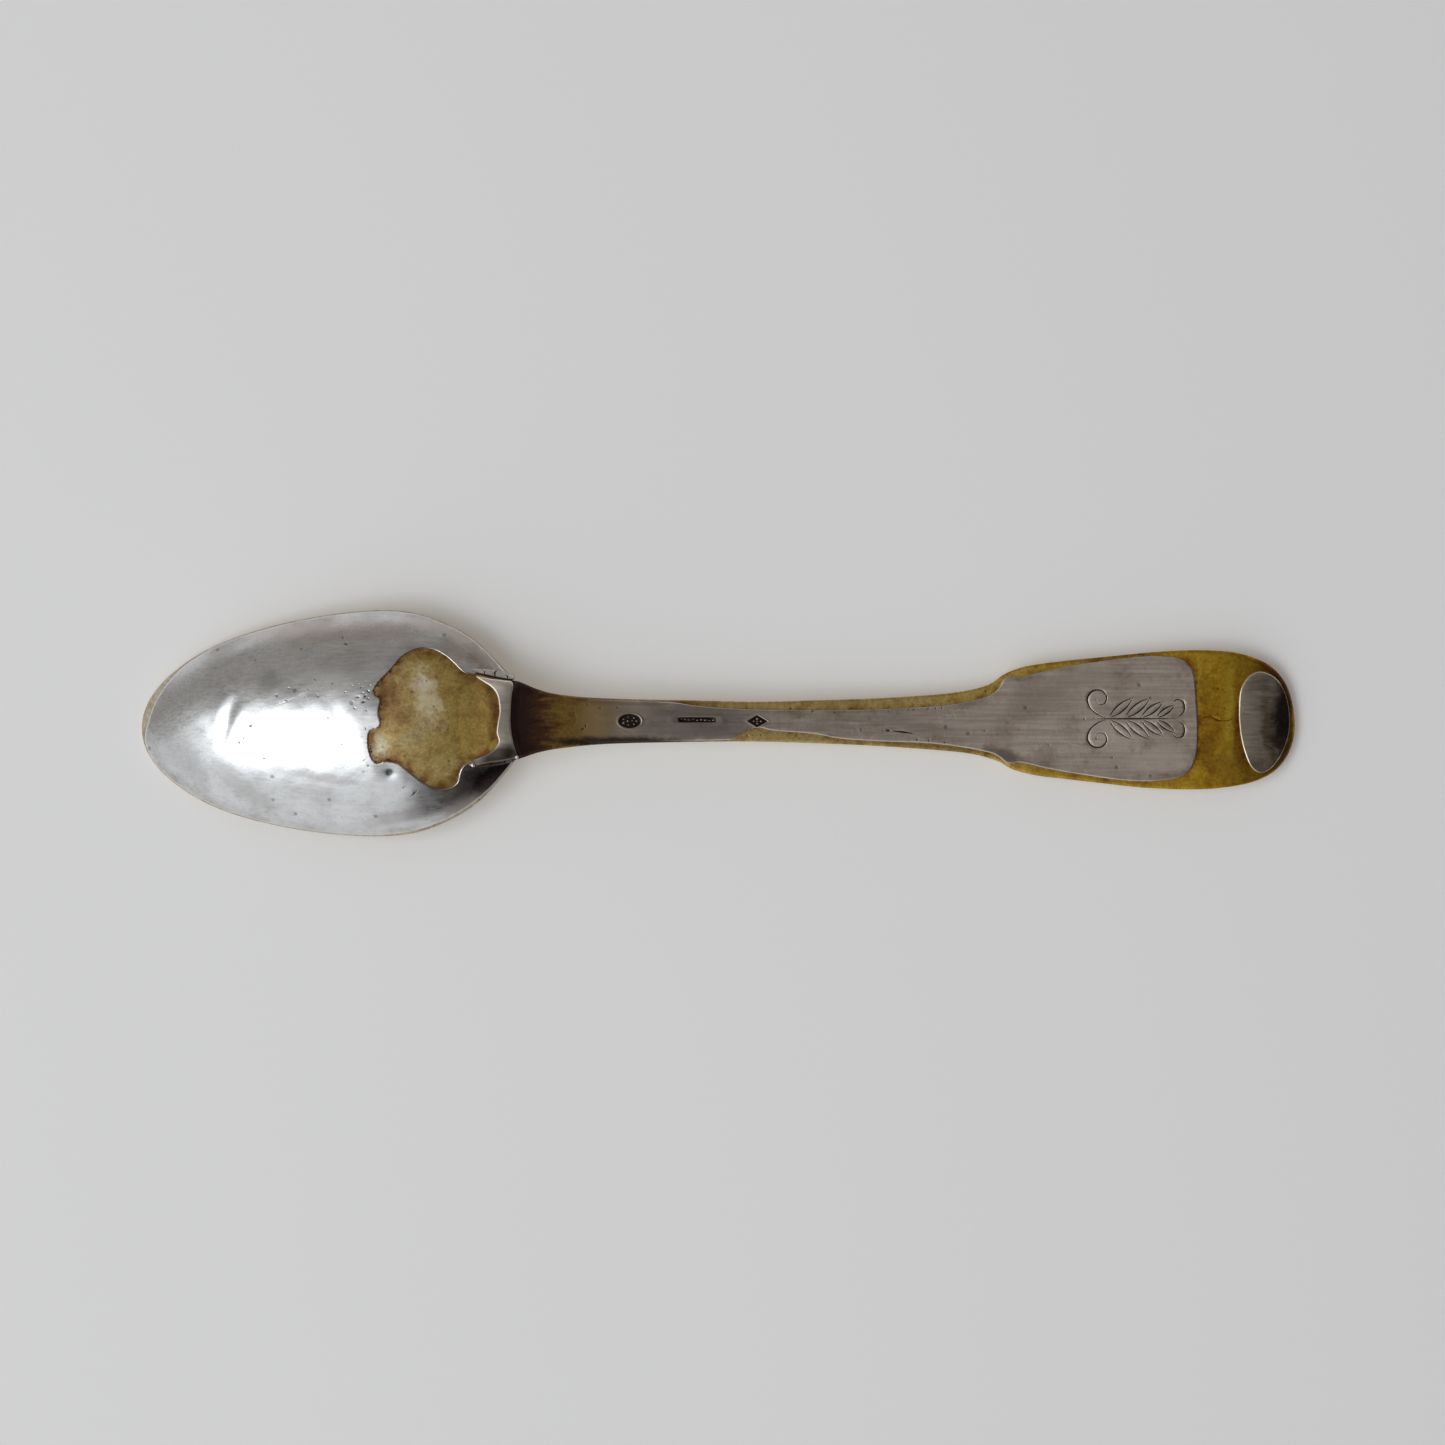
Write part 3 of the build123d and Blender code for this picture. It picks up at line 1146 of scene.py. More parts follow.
    @staticmethod
    def _patina() -> NodeTree:
        """Cloudy staining, stronger towards an edge and in sunk places.

        Returns:
            The group's tree.
        """
        graph, given, out = new_group(
            "patina",
            [
                ("Vector", VECTOR, None), ("Clean", COLOUR, (0.8, 0.8, 0.8)),
                ("Stained", COLOUR, (0.3, 0.3, 0.3)), ("Scale", FLOAT, 220.0), ("Amount", FLOAT, 0.5),
                ("Edge", FLOAT, 0.0), ("Sunk", FLOAT, 0.0),
            ],
            [("Color", COLOUR), ("Mask", FLOAT)],
        )
        inputs = {"Vector": given["Vector"], "Scale": given["Scale"], "Detail": 5.0}
        cloud = graph.node("TexNoise", inputs).outputs["Fac"]
        mottle = graph.noise(given["Vector"], 1500.0, 4.0, 0.65)
        broad = graph.band(cloud, 0.42, 0.68)
        speck = graph.times(graph.band(mottle, 0.45, 0.75), 0.6)
        mask = graph.times(graph.plus(broad, speck), given["Amount"])
        edge = graph.times(given["Edge"], graph.plus(graph.times(cloud, 1.1), 0.1))
        mask = graph.math("MAXIMUM", graph.plus(mask, edge, clamp=True), given["Sunk"])
        graph.feed(out.inputs["Color"], graph.mix(mask, given["Clean"], given["Stained"]))
        graph.feed(out.inputs["Mask"], mask)
        return graph.tree

    @staticmethod
    def _pitting() -> NodeTree:
        """Scattered pinholes.

        Returns:
            The group's tree.
        """
        graph, given, out = new_group(
            "pitting",
            [("Vector", VECTOR, None), ("Scale", FLOAT, 900.0), ("Share", FLOAT, 0.5)],
            [("Pits", FLOAT)],
        )
        inputs = {"Vector": given["Vector"], "Scale": given["Scale"], "Randomness": 1.0}
        cells = graph.node("TexVoronoi", inputs)
        hole = graph.band(cells.outputs["Distance"], 0.1, 0.26, 1.0, 0.0)
        chosen = graph.node("SeparateColor", {0: cells.outputs["Color"]}).outputs[0]
        few = graph.math("LESS_THAN", chosen, given["Share"])
        graph.feed(out.inputs["Pits"], graph.times(hole, few))
        return graph.tree


# ---------------- finishes


Tone = tuple[float, float, float]


def group_node(graph: Graph, tree: NodeTree, **inputs: object) -> Node:
    """Place a node group and feed its inputs.

    Args:
        graph: Where the group goes.
        tree: The group's tree.
        inputs: Values or sockets of the group's inputs.

    Returns:
        The group's node.
    """
    placed = graph.node("Group", node_tree=tree)
    for name, value in inputs.items():
        graph.feed(placed.inputs[name], value)
    return placed


def attribute(graph: Graph, name: str) -> Socket:
    """Value stored on the mesh."""
    return graph.node("Attribute", attribute_name=name, attribute_type="GEOMETRY").outputs["Fac"]


@dataclass(frozen=True)
class Blot:
    """Soft-edged area of another tone: centre and half sizes in millimetres of the spoon's frame."""

    centre: tuple[float, float]
    half: tuple[float, float]
    tone: Tone
    strength: float = 0.8
    turn: float = 0.0
    ragged: float = 1.0

    def over(self, graph: Graph, effects: Effects, where: object, colour: object, place: Place) -> Socket:
        """Lay the area over a colour.

        Args:
            graph: The material's graph.
            effects: The shared node groups.
            where: Object coordinates.
            colour: The colour below.
            place: Where the spoon lies.

        Returns:
            The colour with the area laid over it.
        """
        centre = (self.centre[0] * MM + place.tip, self.centre[1] * MM + place.side, 0.0)
        size = (1 / (self.half[0] * MM), 1 / (self.half[1] * MM), 0.0)
        turn = math.radians(-self.turn)
        blot = group_node(
            graph, effects.blot, Vector=where, Centre=centre, Scale=size, Turn=turn, Ragged=self.ragged
        )
        mask = blot.outputs["Mask"]
        return graph.mix(graph.times(mask, self.strength), colour, self.tone)


def new_material(name: str) -> tuple[Material, Graph, Socket]:
    """Empty material, its graph and its object coordinates.

    Args:
        name: Name of the material.

    Returns:
        The material, its graph and the socket with its object coordinates.
    """
    made = bpy.data.materials.new(name)
    made.use_nodes = True
    made.node_tree.nodes.clear()
    graph = Graph(made.node_tree)
    return made, graph, graph.node("TexCoord").outputs["Object"]


@dataclass(frozen=True)
class Silver:
    """Old silver: brushed, scratched, pitted and cloudily stained grey-brown, with a painted highlight along
    its edge and listed areas of other tones, some of them painted highlights and shade.
    """

    name: str
    clean: Tone = (0.78, 0.79, 0.80)
    stained: Tone = (0.34, 0.31, 0.29)
    roughness: float = 0.27
    patina: float = 0.3
    cloud: float = 200.0
    grain: float = 0.3
    scratches: float = 0.6
    brushed: float = 0.6
    edge_highlight: float = 0.5
    fades_at_neck: bool = False
    blots: tuple[Blot, ...] = ()
    shade_blots: tuple[Blot, ...] = ()

    def material(self, effects: Effects, place: Place) -> Material:
        """Build the material.

        Args:
            effects: The shared node groups.
            place: Where the spoon lies, for the fade at the neck.

        Returns:
            The material.
        """
        made, graph, where = new_material(self.name)
        groove = attribute(graph, "sunk")
        border = attribute(graph, "border")
        streaks = group_node(graph, effects.grain, Vector=where).outputs["Streaks"]
        lines = group_node(graph, effects.scratches, Vector=where, Density=self.scratches).outputs["Lines"]
        pits = group_node(graph, effects.pitting, Vector=where, Scale=700.0, Share=0.06).outputs["Pits"]
        dirt = group_node(
            graph, effects.patina, Vector=where, Clean=self.clean, Stained=self.stained, Scale=self.cloud,
            Amount=self.patina, Edge=graph.band(border, 0.15, 1.6, 0.3, 0.0), Sunk=0.0,
        )
        brushed = graph.mix(graph.band(streaks, 0.3, 0.7), (0.36, 0.35, 0.34), (0.66, 0.66, 0.66))
        colour = graph.mix(self.brushed, dirt.outputs["Color"], brushed, "OVERLAY")
        for blot in self.blots:
            colour = blot.over(graph, effects, where, colour, place)
        # Painted highlight: a light line along the facing's rounded edge.
        edge_highlight_mask = graph.times(graph.band(border, 0.03, 0.2, 1.0, 0.0), self.edge_highlight)
        colour = graph.mix(edge_highlight_mask, colour, (0.9, 0.88, 0.84))
        rough = graph.plus(self.roughness, graph.times(dirt.outputs["Mask"], 0.16))
        rough = graph.plus(rough, graph.times(graph.less(streaks, 0.5), 0.25))
        rough = graph.plus(rough, graph.times(lines, 0.12), clamp=True)
        metallic: object = 1.0
        if self.fades_at_neck:
            neck = group_node(graph, effects.neck, Vector=where)
            bare = neck.outputs["Bare"]
            colour = graph.mix(bare, colour, neck.outputs["Color"])
            metallic = graph.less(1.0, graph.times(bare, 0.08))
            rough = graph.plus(rough, graph.times(bare, 0.08), clamp=True)
        # Painted shade, laid last so that it also covers the bare neck.
        for blot in self.shade_blots:
            colour = blot.over(graph, effects, where, colour, place)
        # Dark in the grooves and pits; on the heel band this same value darkens its lower end as painted
        # shade.
        colour = graph.mix(groove, colour, (0.035, 0.026, 0.02))
        colour = graph.mix(graph.times(pits, 0.5), colour, (0.09, 0.07, 0.055))
        fine = graph.times(streaks, self.grain)
        height = graph.less(graph.less(fine, graph.times(lines, 0.5)), pits)
        bump = graph.node("Bump", {"Height": height, "Strength": 0.35, "Distance": 0.00003}).outputs[0]
        graph.dress(colour, metallic, rough, bump)
        return made


@dataclass(frozen=True)
class YellowMetal:
    """Yellow metal under the silver: khaki on the bowl and olive gold on the handle, with painted shade near
    black in the neck and painted highlights and shade in some of its areas.
    """

    name: str = "yellow_metal"
    roughness: float = 0.42
    blots: tuple[Blot, ...] = (
        Blot((32.2, 1.6), (2.6, 4.2), (0.42, 0.26, 0.11), 0.85, 12.0, 1.4),
        Blot((31.4, 3.4), (1.6, 1.6), (0.25, 0.12, 0.05), 0.6),
        # Painted highlight: the next three light areas form the streak where the worn patch catches the
        # light.
        Blot((36.1, 3.3), (1.8, 4.0), (0.98, 0.83, 0.55), 0.9, 14.0, 1.6),
        Blot((35.7, 4.7), (0.8, 1.7), (1.0, 0.93, 0.74), 0.7, 20.0, 2.4),
        Blot((36.6, 0.6), (2.0, 2.2), (0.86, 0.72, 0.44), 0.7, 30.0, 1.4),
        Blot((38.2, -6.0), (3.0, 2.0), (0.62, 0.48, 0.22), 0.6, 20.0, 1.4),
        Blot((41.0, 3.0), (2.2, 2.0), (0.5, 0.37, 0.11), 0.5, 0.0, 1.4),
        Blot((34.4, -2.2), (3.0, 1.2), (0.56, 0.46, 0.25), 0.6, 30.0),
        Blot((30.2, -3.2), (1.3, 2.0), (0.78, 0.72, 0.56), 0.9),
        Blot((34.9, 8.2), (3.2, 1.0), (0.4, 0.27, 0.06), 0.7, -8.0),
        Blot((38.3, -7.6), (1.6, 0.9), (0.4, 0.22, 0.07), 0.7),
        Blot((44.3, 3.4), (1.1, 2.6), (0.2, 0.1, 0.03), 0.6, 14.0),
        Blot((44.4, -0.6), (0.7, 1.7), (0.24, 0.13, 0.03), 0.55),
        Blot((42.0, 3.9), (2.6, 1.2), (0.3, 0.17, 0.04), 0.5, -25.0),
        Blot((134.2, -1.0), (1.5, 8.0), (0.37, 0.19, 0.015), 0.85, 0.0, 1.2),
        # Painted reflection: a lighter band across the yellow near the end.
        Blot((136.7, 1.0), (0.7, 8.0), (0.70, 0.47, 0.06), 0.7, 0.0, 0.5),
        # Painted shade: darker where the end turns down.
        Blot((142.4, 6.3), (3.4, 1.1), (0.2, 0.08, 0.02), 0.9, -42.0, 0.6),
        Blot((133.6, 3.6), (0.8, 3.0), (0.30, 0.16, 0.02), 0.5, 0.0, 1.4),
        Blot((135.6, -5.4), (2.2, 2.2), (0.34, 0.19, 0.03), 0.45, 0.0, 1.6),
        Blot((100.0, -3.4), (8.0, 0.5), (0.3, 0.2, 0.08), 0.6, -6.0, 1.2),
        Blot((122.0, 8.1), (8.0, 0.5), (0.36, 0.25, 0.1), 0.6, 7.0, 1.2),
        Blot((138.3, -2.4), (1.2, 5.5), (0.27, 0.12, 0.02), 0.75, 4.0),
        Blot((134.0, -3.6), (1.1, 2.6), (0.27, 0.13, 0.015), 0.6, 0.0, 1.6),
        # Painted shade: a near-black line along the stem's lower edge beside the neck.
        Blot((60.0, -2.6), (11.0, 0.8), (0.04, 0.026, 0.02), 0.95, 0.0, 0.5),
        Blot((56.0, 2.9), (6.0, 0.5), (0.2, 0.13, 0.08), 0.6, -6.0, 0.5),
        # Painted shade: the next two darken the turned-down end.
        Blot((144.6, 3.6), (1.3, 6.0), (0.14, 0.06, 0.025), 0.85, 22.0),
        Blot((144.2, -4.6), (1.3, 4.0), (0.16, 0.08, 0.03), 0.8, -22.0),
    )

    def material(self, effects: Effects, place: Place) -> Material:
        """Build the material.

        Args:
            effects: The shared node groups.
            place: Where the spoon lies.

        Returns:
            The material.
        """
        made, graph, where = new_material(self.name)
        station = graph.node("SeparateXYZ", {0: where}).outputs[0]
        cloud = graph.noise(where, 380.0, 4.0, 0.6)
        colour: object = group_node(graph, effects.neck, Vector=where).outputs["Color"]
        for blot in self.blots:
            colour = blot.over(graph, effects, where, colour, place)
        border = attribute(graph, "border")
        colour = graph.mix(attribute(graph, "rim"), colour, (0.6, 0.53, 0.44))
        along = graph.band(station, place.tip + 40.0 * MM, place.tip + 110.0 * MM)
        plain = graph.mix(along, (0.62, 0.5, 0.26), (0.55, 0.37, 0.06))
        colour = graph.mix(attribute(graph, "front"), colour, plain)
        stained = graph.mix(1.0, colour, (0.42, 0.26, 0.15), "MULTIPLY")
        stain = group_node(
            graph, effects.patina, Vector=where, Clean=colour, Stained=stained, Scale=620.0, Amount=0.42,
            Edge=graph.band(border, 0.0, 1.5, 0.95, 0.0), Sunk=attribute(graph, "sunk"),
        )
        streaks = group_node(graph, effects.grain, Vector=where, Along=240.0).outputs["Streaks"]
        pits = group_node(graph, effects.pitting, Vector=where, Scale=1100.0, Share=0.13).outputs["Pits"]
        soft = graph.times(streaks, 0.35)
        colour = graph.mix(soft, stain.outputs["Color"], (0.9, 0.82, 0.5), "SOFT_LIGHT")
        grit = graph.band(graph.noise(where, 2600.0, 3.0, 0.7), 0.35, 0.65)
        colour = graph.mix(0.5, colour, graph.mix(grit, (0.32, 0.3, 0.27), (0.68, 0.69, 0.7)), "OVERLAY")
        colour = graph.mix(graph.times(pits, 0.5), colour, (0.08, 0.04, 0.015))
        on_bowl = graph.band(station, place.tip + 46.0 * MM, place.tip + 56.0 * MM, 1.0, 0.0)
        metallic = graph.less(0.92, graph.times(on_bowl, 0.5))
        rough = graph.plus(self.roughness, graph.times(stain.outputs["Mask"], 0.15))
        rough = graph.plus(rough, graph.times(on_bowl, 0.12), clamp=True)
        height = graph.less(graph.times(cloud, 0.8), pits)
        bump = graph.node("Bump", {"Height": height, "Strength": 0.4, "Distance": 0.00005}).outputs[0]
        graph.dress(colour, metallic, rough, bump)
        return made


@dataclass(frozen=True)
class Solder:
    """Grey solder, dull and pitted."""

    name: str = "solder"
    clean: Tone = (0.62, 0.58, 0.54)
    dark: Tone = (0.09, 0.065, 0.05)
    roughness: float = 0.3
    patina: float = 0.55

    def material(self, effects: Effects) -> Material:
        """Build the material from the shared node groups.

        Args:
            effects: The shared node groups.

        Returns:
            The material.
        """
        made, graph, where = new_material(self.name)
        stain = group_node(
            graph, effects.patina, Vector=where, Clean=self.clean, Stained=self.dark, Scale=900.0,
            Amount=self.patina,
        )
        pits = group_node(graph, effects.pitting, Vector=where, Scale=2200.0, Share=0.4).outputs["Pits"]
        inputs = {"Height": pits, "Strength": 0.5, "Distance": 0.00004}
        bump = graph.node("Bump", inputs, invert=True).outputs[0]
        colour = graph.mix(graph.times(pits, 0.5), stain.outputs["Color"], self.dark)
        colour = graph.mix(attribute(graph, "sunk"), colour, (0.04, 0.028, 0.022))
        rough = graph.plus(self.roughness, graph.times(stain.outputs["Mask"], 0.25))
        graph.dress(colour, 1.0, rough, bump)
        return made


YELLOW = YellowMetal()
BOWL_SILVER = Silver(
    "silver_bowl", clean=(0.84, 0.85, 0.86),
    blots=(
        Blot((41.6, -8.9), (5.6, 2.9), (0.33, 0.28, 0.25), 0.8, 42.0, 0.5),
        # Painted shade: the next two near-black areas on the lower side of the bowl's root.
        Blot((44.3, -7.0), (4.4, 2.2), (0.04, 0.026, 0.024), 0.97, 30.0, 0.4),
        Blot((45.7, -6.3), (2.4, 1.5), (0.04, 0.026, 0.024), 0.95, 35.0, 0.3),
        Blot((33.5, -11.7), (6.5, 1.1), (0.52, 0.49, 0.48), 0.7, 12.0, 0.6),
        Blot((5.5, -4.8), (3.0, 2.0), (0.6, 0.6, 0.6), 0.6, -35.0, 0.6),
        # Painted highlight: carries the bowl's highlight further up.
        Blot((24.0, 5.0), (4.5, 1.7), (0.97, 0.98, 0.99), 0.8, 0.0, 0.6),
        Blot((41.0, 9.3), (5.4, 2.4), (0.52, 0.45, 0.39), 0.7, -36.0),
        Blot((43.2, 8.0), (2.8, 1.4), (0.3, 0.25, 0.21), 0.5, -42.0, 1.8),
        # Painted reflection: a warm grey band along the bowl's upper side.
        Blot((26.0, 11.3), (15.0, 1.7), (0.68, 0.6, 0.55), 0.7, 3.0, 0.6),
        Blot((13.9, -0.2), (0.8, 0.6), (0.4, 0.38, 0.36), 0.5, 50.0),
        Blot((16.4, 5.2), (1.6, 1.4), (0.5, 0.5, 0.5), 0.5, 30.0),
        Blot((13.0, -8.2), (6.0, 1.6), (0.55, 0.54, 0.53), 0.5, -38.0),
        Blot((24.0, -7.2), (5.0, 0.7), (0.55, 0.51, 0.48), 0.5, -10.0),
        Blot((29.0, 2.5), (1.2, 1.6), (0.42, 0.42, 0.43), 0.7, 0.0, 1.4),
    ),
)
HANDLE_SILVER = Silver(
    "silver_handle", clean=(0.63, 0.545, 0.475), stained=(0.29, 0.225, 0.18), roughness=0.34, patina=0.66,
    cloud=230.0, grain=0.4, brushed=0.3, fades_at_neck=True,
    blots=(
        Blot((69.5, 0.0), (10.0, 3.4), (0.30, 0.25, 0.23), 0.8, 0.0, 0.6),
        Blot((111.0, 2.6), (3.6, 2.4), (0.36, 0.3, 0.26), 0.5, 30.0),
        Blot((118.0, 5.4), (5.5, 1.3), (0.42, 0.35, 0.3), 0.45, 8.0),
        Blot((122.5, -1.8), (4.5, 2.2), (0.74, 0.65, 0.57), 0.5),
        Blot((99.0, -1.0), (6.0, 0.8), (0.38, 0.32, 0.28), 0.4, -8.0),
        Blot((108.6, -4.5), (3.2, 1.0), (0.16, 0.12, 0.11), 0.75, -18.0),
        Blot((104.0, 2.4), (3.0, 0.8), (0.3, 0.24, 0.2), 0.5, 20.0),
        Blot((114.0, 3.0), (4.0, 2.5), (0.4, 0.33, 0.28), 0.5),
        Blot((127.0, -5.0), (5.0, 2.0), (0.7, 0.61, 0.53), 0.6),
    ),
    # Painted shade: a near-black line along the stem's lower edge beside the neck.
    shade_blots=(Blot((60.0, -2.6), (11.0, 0.8), (0.04, 0.026, 0.02), 0.95, 0.0, 0.5),),
)
TIP_SILVER = Silver(
    "silver_tip", clean=(1.0, 0.9, 0.78), stained=(0.45, 0.37, 0.27), roughness=0.3, patina=0.35, brushed=0.2,
    edge_highlight=0.08,
    blots=(
        Blot((141.6, -1.4), (1.0, 5.0), (0.42, 0.33, 0.18), 0.75, 6.0, 0.8),
        Blot((140.2, 4.6), (1.6, 1.0), (0.5, 0.4, 0.3), 0.5, 20.0, 1.4),
        # Painted shade: near black where the end turns down.
        Blot((143.8, 0.8), (1.9, 6.6), (0.09, 0.06, 0.045), 0.95, -4.0, 0.6),
        Blot((140.0, -5.8), (1.6, 1.4), (0.3, 0.24, 0.17), 0.6),
    ),
)
HEEL_SILVER = Silver(
    "silver_heel", clean=(1.0, 0.92, 0.82), stained=(0.4, 0.33, 0.27), roughness=0.4, patina=0.2,
    brushed=0.3,
    # Painted shade: near black at the band's lower end.
    blots=(Blot((45.4, -4.3), (2.9, 1.7), (0.1, 0.075, 0.06), 0.95, 18.0, 0.5),),
)
BRIGHT = Solder("solder_bright", clean=(0.98, 0.93, 0.88), roughness=0.4, patina=0.2)
DARK = Solder("solder_dark", clean=(0.22, 0.19, 0.17), roughness=0.3, patina=0.6)
CRUMB = Solder("crumb", clean=(0.2, 0.11, 0.05), dark=(0.07, 0.035, 0.015), roughness=0.6)


# ---------------- geometry nodes


class BeadTree:
    """Geometry Nodes tree that sets rounded lumps along a line, or on loose points, as one realised mesh."""

    SOCKETS = (
        ("Spacing", "NodeSocketFloat"), ("Size", "NodeSocketVector"), ("Unevenness", "NodeSocketFloat"),
        ("Seed", "NodeSocketInt"), ("Finish", "NodeSocketMaterial"),
    )

    def __init__(self, name: str, along_line: bool) -> None:
        """Build the tree.

        Args:
            name: Name of the tree.
            along_line: Whether the lumps follow a line and point along it, or sit on loose points.
        """
        self.tree = bpy.data.node_groups.new(name, "GeometryNodeTree")
        self.tree.interface.new_socket("Geometry", in_out="INPUT", socket_type="NodeSocketGeometry")
        self.along_line = along_line
        self.ids = {}
        for label, kind in self.SOCKETS:
            socket = self.tree.interface.new_socket(label, in_out="INPUT", socket_type=kind)
            self.ids[label] = socket.identifier
        self.tree.interface.new_socket("Geometry", in_out="OUTPUT", socket_type="NodeSocketGeometry")
        graph = Graph(self.tree)
        entry = graph.node("NodeGroupInput")
        places = entry.outputs["Geometry"]
        set_on = graph.node("GeometryNodeInstanceOnPoints")
        if along_line:
            curve = graph.node("GeometryNodeMeshToCurve", {"Mesh": places}).outputs[0]
            inputs = {"Curve": curve, "Length": entry.outputs["Spacing"]}
            places = graph.node("GeometryNodeResampleCurve", inputs, mode="LENGTH").outputs[0]
            inputs = {"Vector": graph.node("GeometryNodeInputTangent").outputs[0]}
            turn = graph.node("FunctionNodeAlignRotationToVector", inputs, axis="X").outputs[0]
            graph.feed(set_on.inputs["Rotation"], turn)
        lump = graph.node("GeometryNodeMeshIcoSphere", {"Radius": 1.0, "Subdivisions": 3})
        graph.feed(set_on.inputs["Points"], places)
        graph.feed(set_on.inputs["Instance"], lump.outputs["Mesh"])
        graph.feed(set_on.inputs["Scale"], self._uneven_size(graph, entry))
        whole = graph.node("GeometryNodeRealizeInstances", {"Geometry": set_on.outputs[0]}).outputs[0]
        smooth = graph.node("GeometryNodeSetShadeSmooth", {"Geometry": whole}).outputs[0]
        inputs = {"Geometry": smooth, "Material": entry.outputs["Finish"]}
        dressed = graph.node("GeometryNodeSetMaterial", inputs)
        graph.feed(graph.node("NodeGroupOutput").inputs[0], dressed.outputs[0])

    @staticmethod
    def _uneven_size(graph: Graph, entry: Node) -> Socket:
        """Size of each lump: the given size, more or less by the unevenness.

        Args:
            graph: The tree's graph.
            entry: The tree's input node.

        Returns:
            The size of each lump.
        """
        low = graph.less(1.0, entry.outputs["Unevenness"])
        high = graph.plus(1.0, entry.outputs["Unevenness"])
        chance = graph.node("FunctionNodeRandomValue", data_type="FLOAT")
        floats = [socket for socket in chance.inputs if socket.type == "VALUE"]
        graph.feed(floats[0], low)
        graph.feed(floats[1], high)
        graph.feed(chance.inputs["Seed"], entry.outputs["Seed"])
        share = next(socket for socket in chance.outputs if socket.type == "VALUE" and socket.enabled)
        inputs = {0: entry.outputs["Size"], "Scale": share}
        return graph.node("VectorMath", inputs, operation="SCALE").outputs[0]

    def beads(self, name: str, points: Array, settings: dict) -> Piece:
        """Run the tree and keep its result as a plain mesh.

        Args:
            name: Name of the piece.
            points: Places in metres, in the row frame.
            settings: Value of each named input.

        Returns:
            The piece.
        """
        mesh = bpy.data.meshes.new(name + "_places")
        lines = [(i, i + 1) for i in range(len(points) - 1)] if self.along_line else []
        mesh.from_pydata(points.tolist(), lines, [])
        holder = bpy.data.objects.new(name + "_places", mesh)
        bpy.context.scene.collection.objects.link(holder)
        modifier = holder.modifiers.new("beads", "NODES")
        modifier.node_group = self.tree
        for label, value in settings.items():
            modifier[self.ids[label]] = value
        graph = bpy.context.evaluated_depsgraph_get()
        baked = bpy.data.meshes.new_from_object(holder.evaluated_get(graph), depsgraph=graph)
        baked.name = name
        holder.modifiers.remove(modifier)
        bpy.data.objects.remove(holder)
        piece = bpy.data.objects.new(name, baked)
        bpy.context.scene.collection.objects.link(piece)
        return piece


# ---------------- sub-assemblies


@dataclass
class Workshop:
    """What every sub-assembly needs: the forms, the place, the shared effects and bead trees."""

    place: Place
    form: SpoonForm
    effects: Effects
    line_beads: BeadTree
    loose_beads: BeadTree

    def finish(self, piece: Piece, material: Material | None, slot: Slot, *nodes: str) -> None:
        """Dress a piece, tie it to its body and hide the CAD nodes that it stands for.

        Args:
            piece: The piece.
            material: Its material, or None where it has one already.
            slot: The record's material slot; not used.
            nodes: CAD nodes that it replaces.
        """
        if material is not None:
            piece.data.materials.clear()
            piece.data.materials.append(material)
        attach(piece, BODY)
        if nodes:
            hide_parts(*nodes)
        log.info("%s: %d faces", piece.name, len(piece.data.polygons))


EDGE_ROWS = (0.03, 0.07, 0.12, 0.18, 0.27)  # distances of a facing's mesh rows from its edge
FAR = 20.0  # distance to an edge, where there is none near
LIP_EDGE = 0.12  # share of a facing's thickness that is left at its edge
LIP_WIDTH = 0.17


def lip_of(away: Array) -> Array:
    """Share of a facing's thickness at a distance from its rounded edge."""
    return LIP_EDGE + (1 - LIP_EDGE) * rounded(away, LIP_WIDTH)


def border_of_patch() -> Array:
    """Edge of the worn hole, from the far solder run round its left side to the near one.

    Returns:
        The border's points, which don't close into a loop.
    """
    points = [
        (42.0, 5.75), (41.1, 5.95), (40.4, 6.38), (39.45, 7.35), (38.44, 8.19), (37.27, 8.86),
        (36.09, 9.12), (34.92, 9.0), (33.74, 8.5), (32.74, 7.72), (31.9, 6.68), (30.89, 5.59),
        (30.05, 4.67), (29.62, 3.95), (29.5, 3.45), (29.75, 3.1), (30.32, 2.72), (30.38, 2.2), (30.25, 1.7),
        (30.2, 0.9), (30.35, 0.3), (30.48, -0.28), (30.2, -0.8), (29.75, -0.95), (29.25, -1.15),
        (28.95, -1.7), (28.9, -2.8), (29.05, -3.81), (29.4, -4.75), (30.0, -5.3), (30.72, -5.08),
        (31.73, -5.12), (32.74, -5.4), (33.57, -5.99), (34.58, -6.83), (35.59, -7.59), (36.76, -8.24),
        (37.94, -8.52), (39.2, -8.26), (39.95, -7.65), (40.2, -6.66), (40.5, -5.9), (41.2, -5.3),
        (42.2, -5.2),
    ]
    border = flowing(points, 0.12)
    ragged = 1 - eased(30.6, 31.6, border[:, 0])
    run = np.arange(len(border))
    border[:, 0] += ragged * 0.07 * np.sin(run * 2.1) * np.cos(run * 0.67 + 1.0)
    border[:, 1] += ragged * 0.05 * np.sin(run * 1.3 + 0.4)
    return border


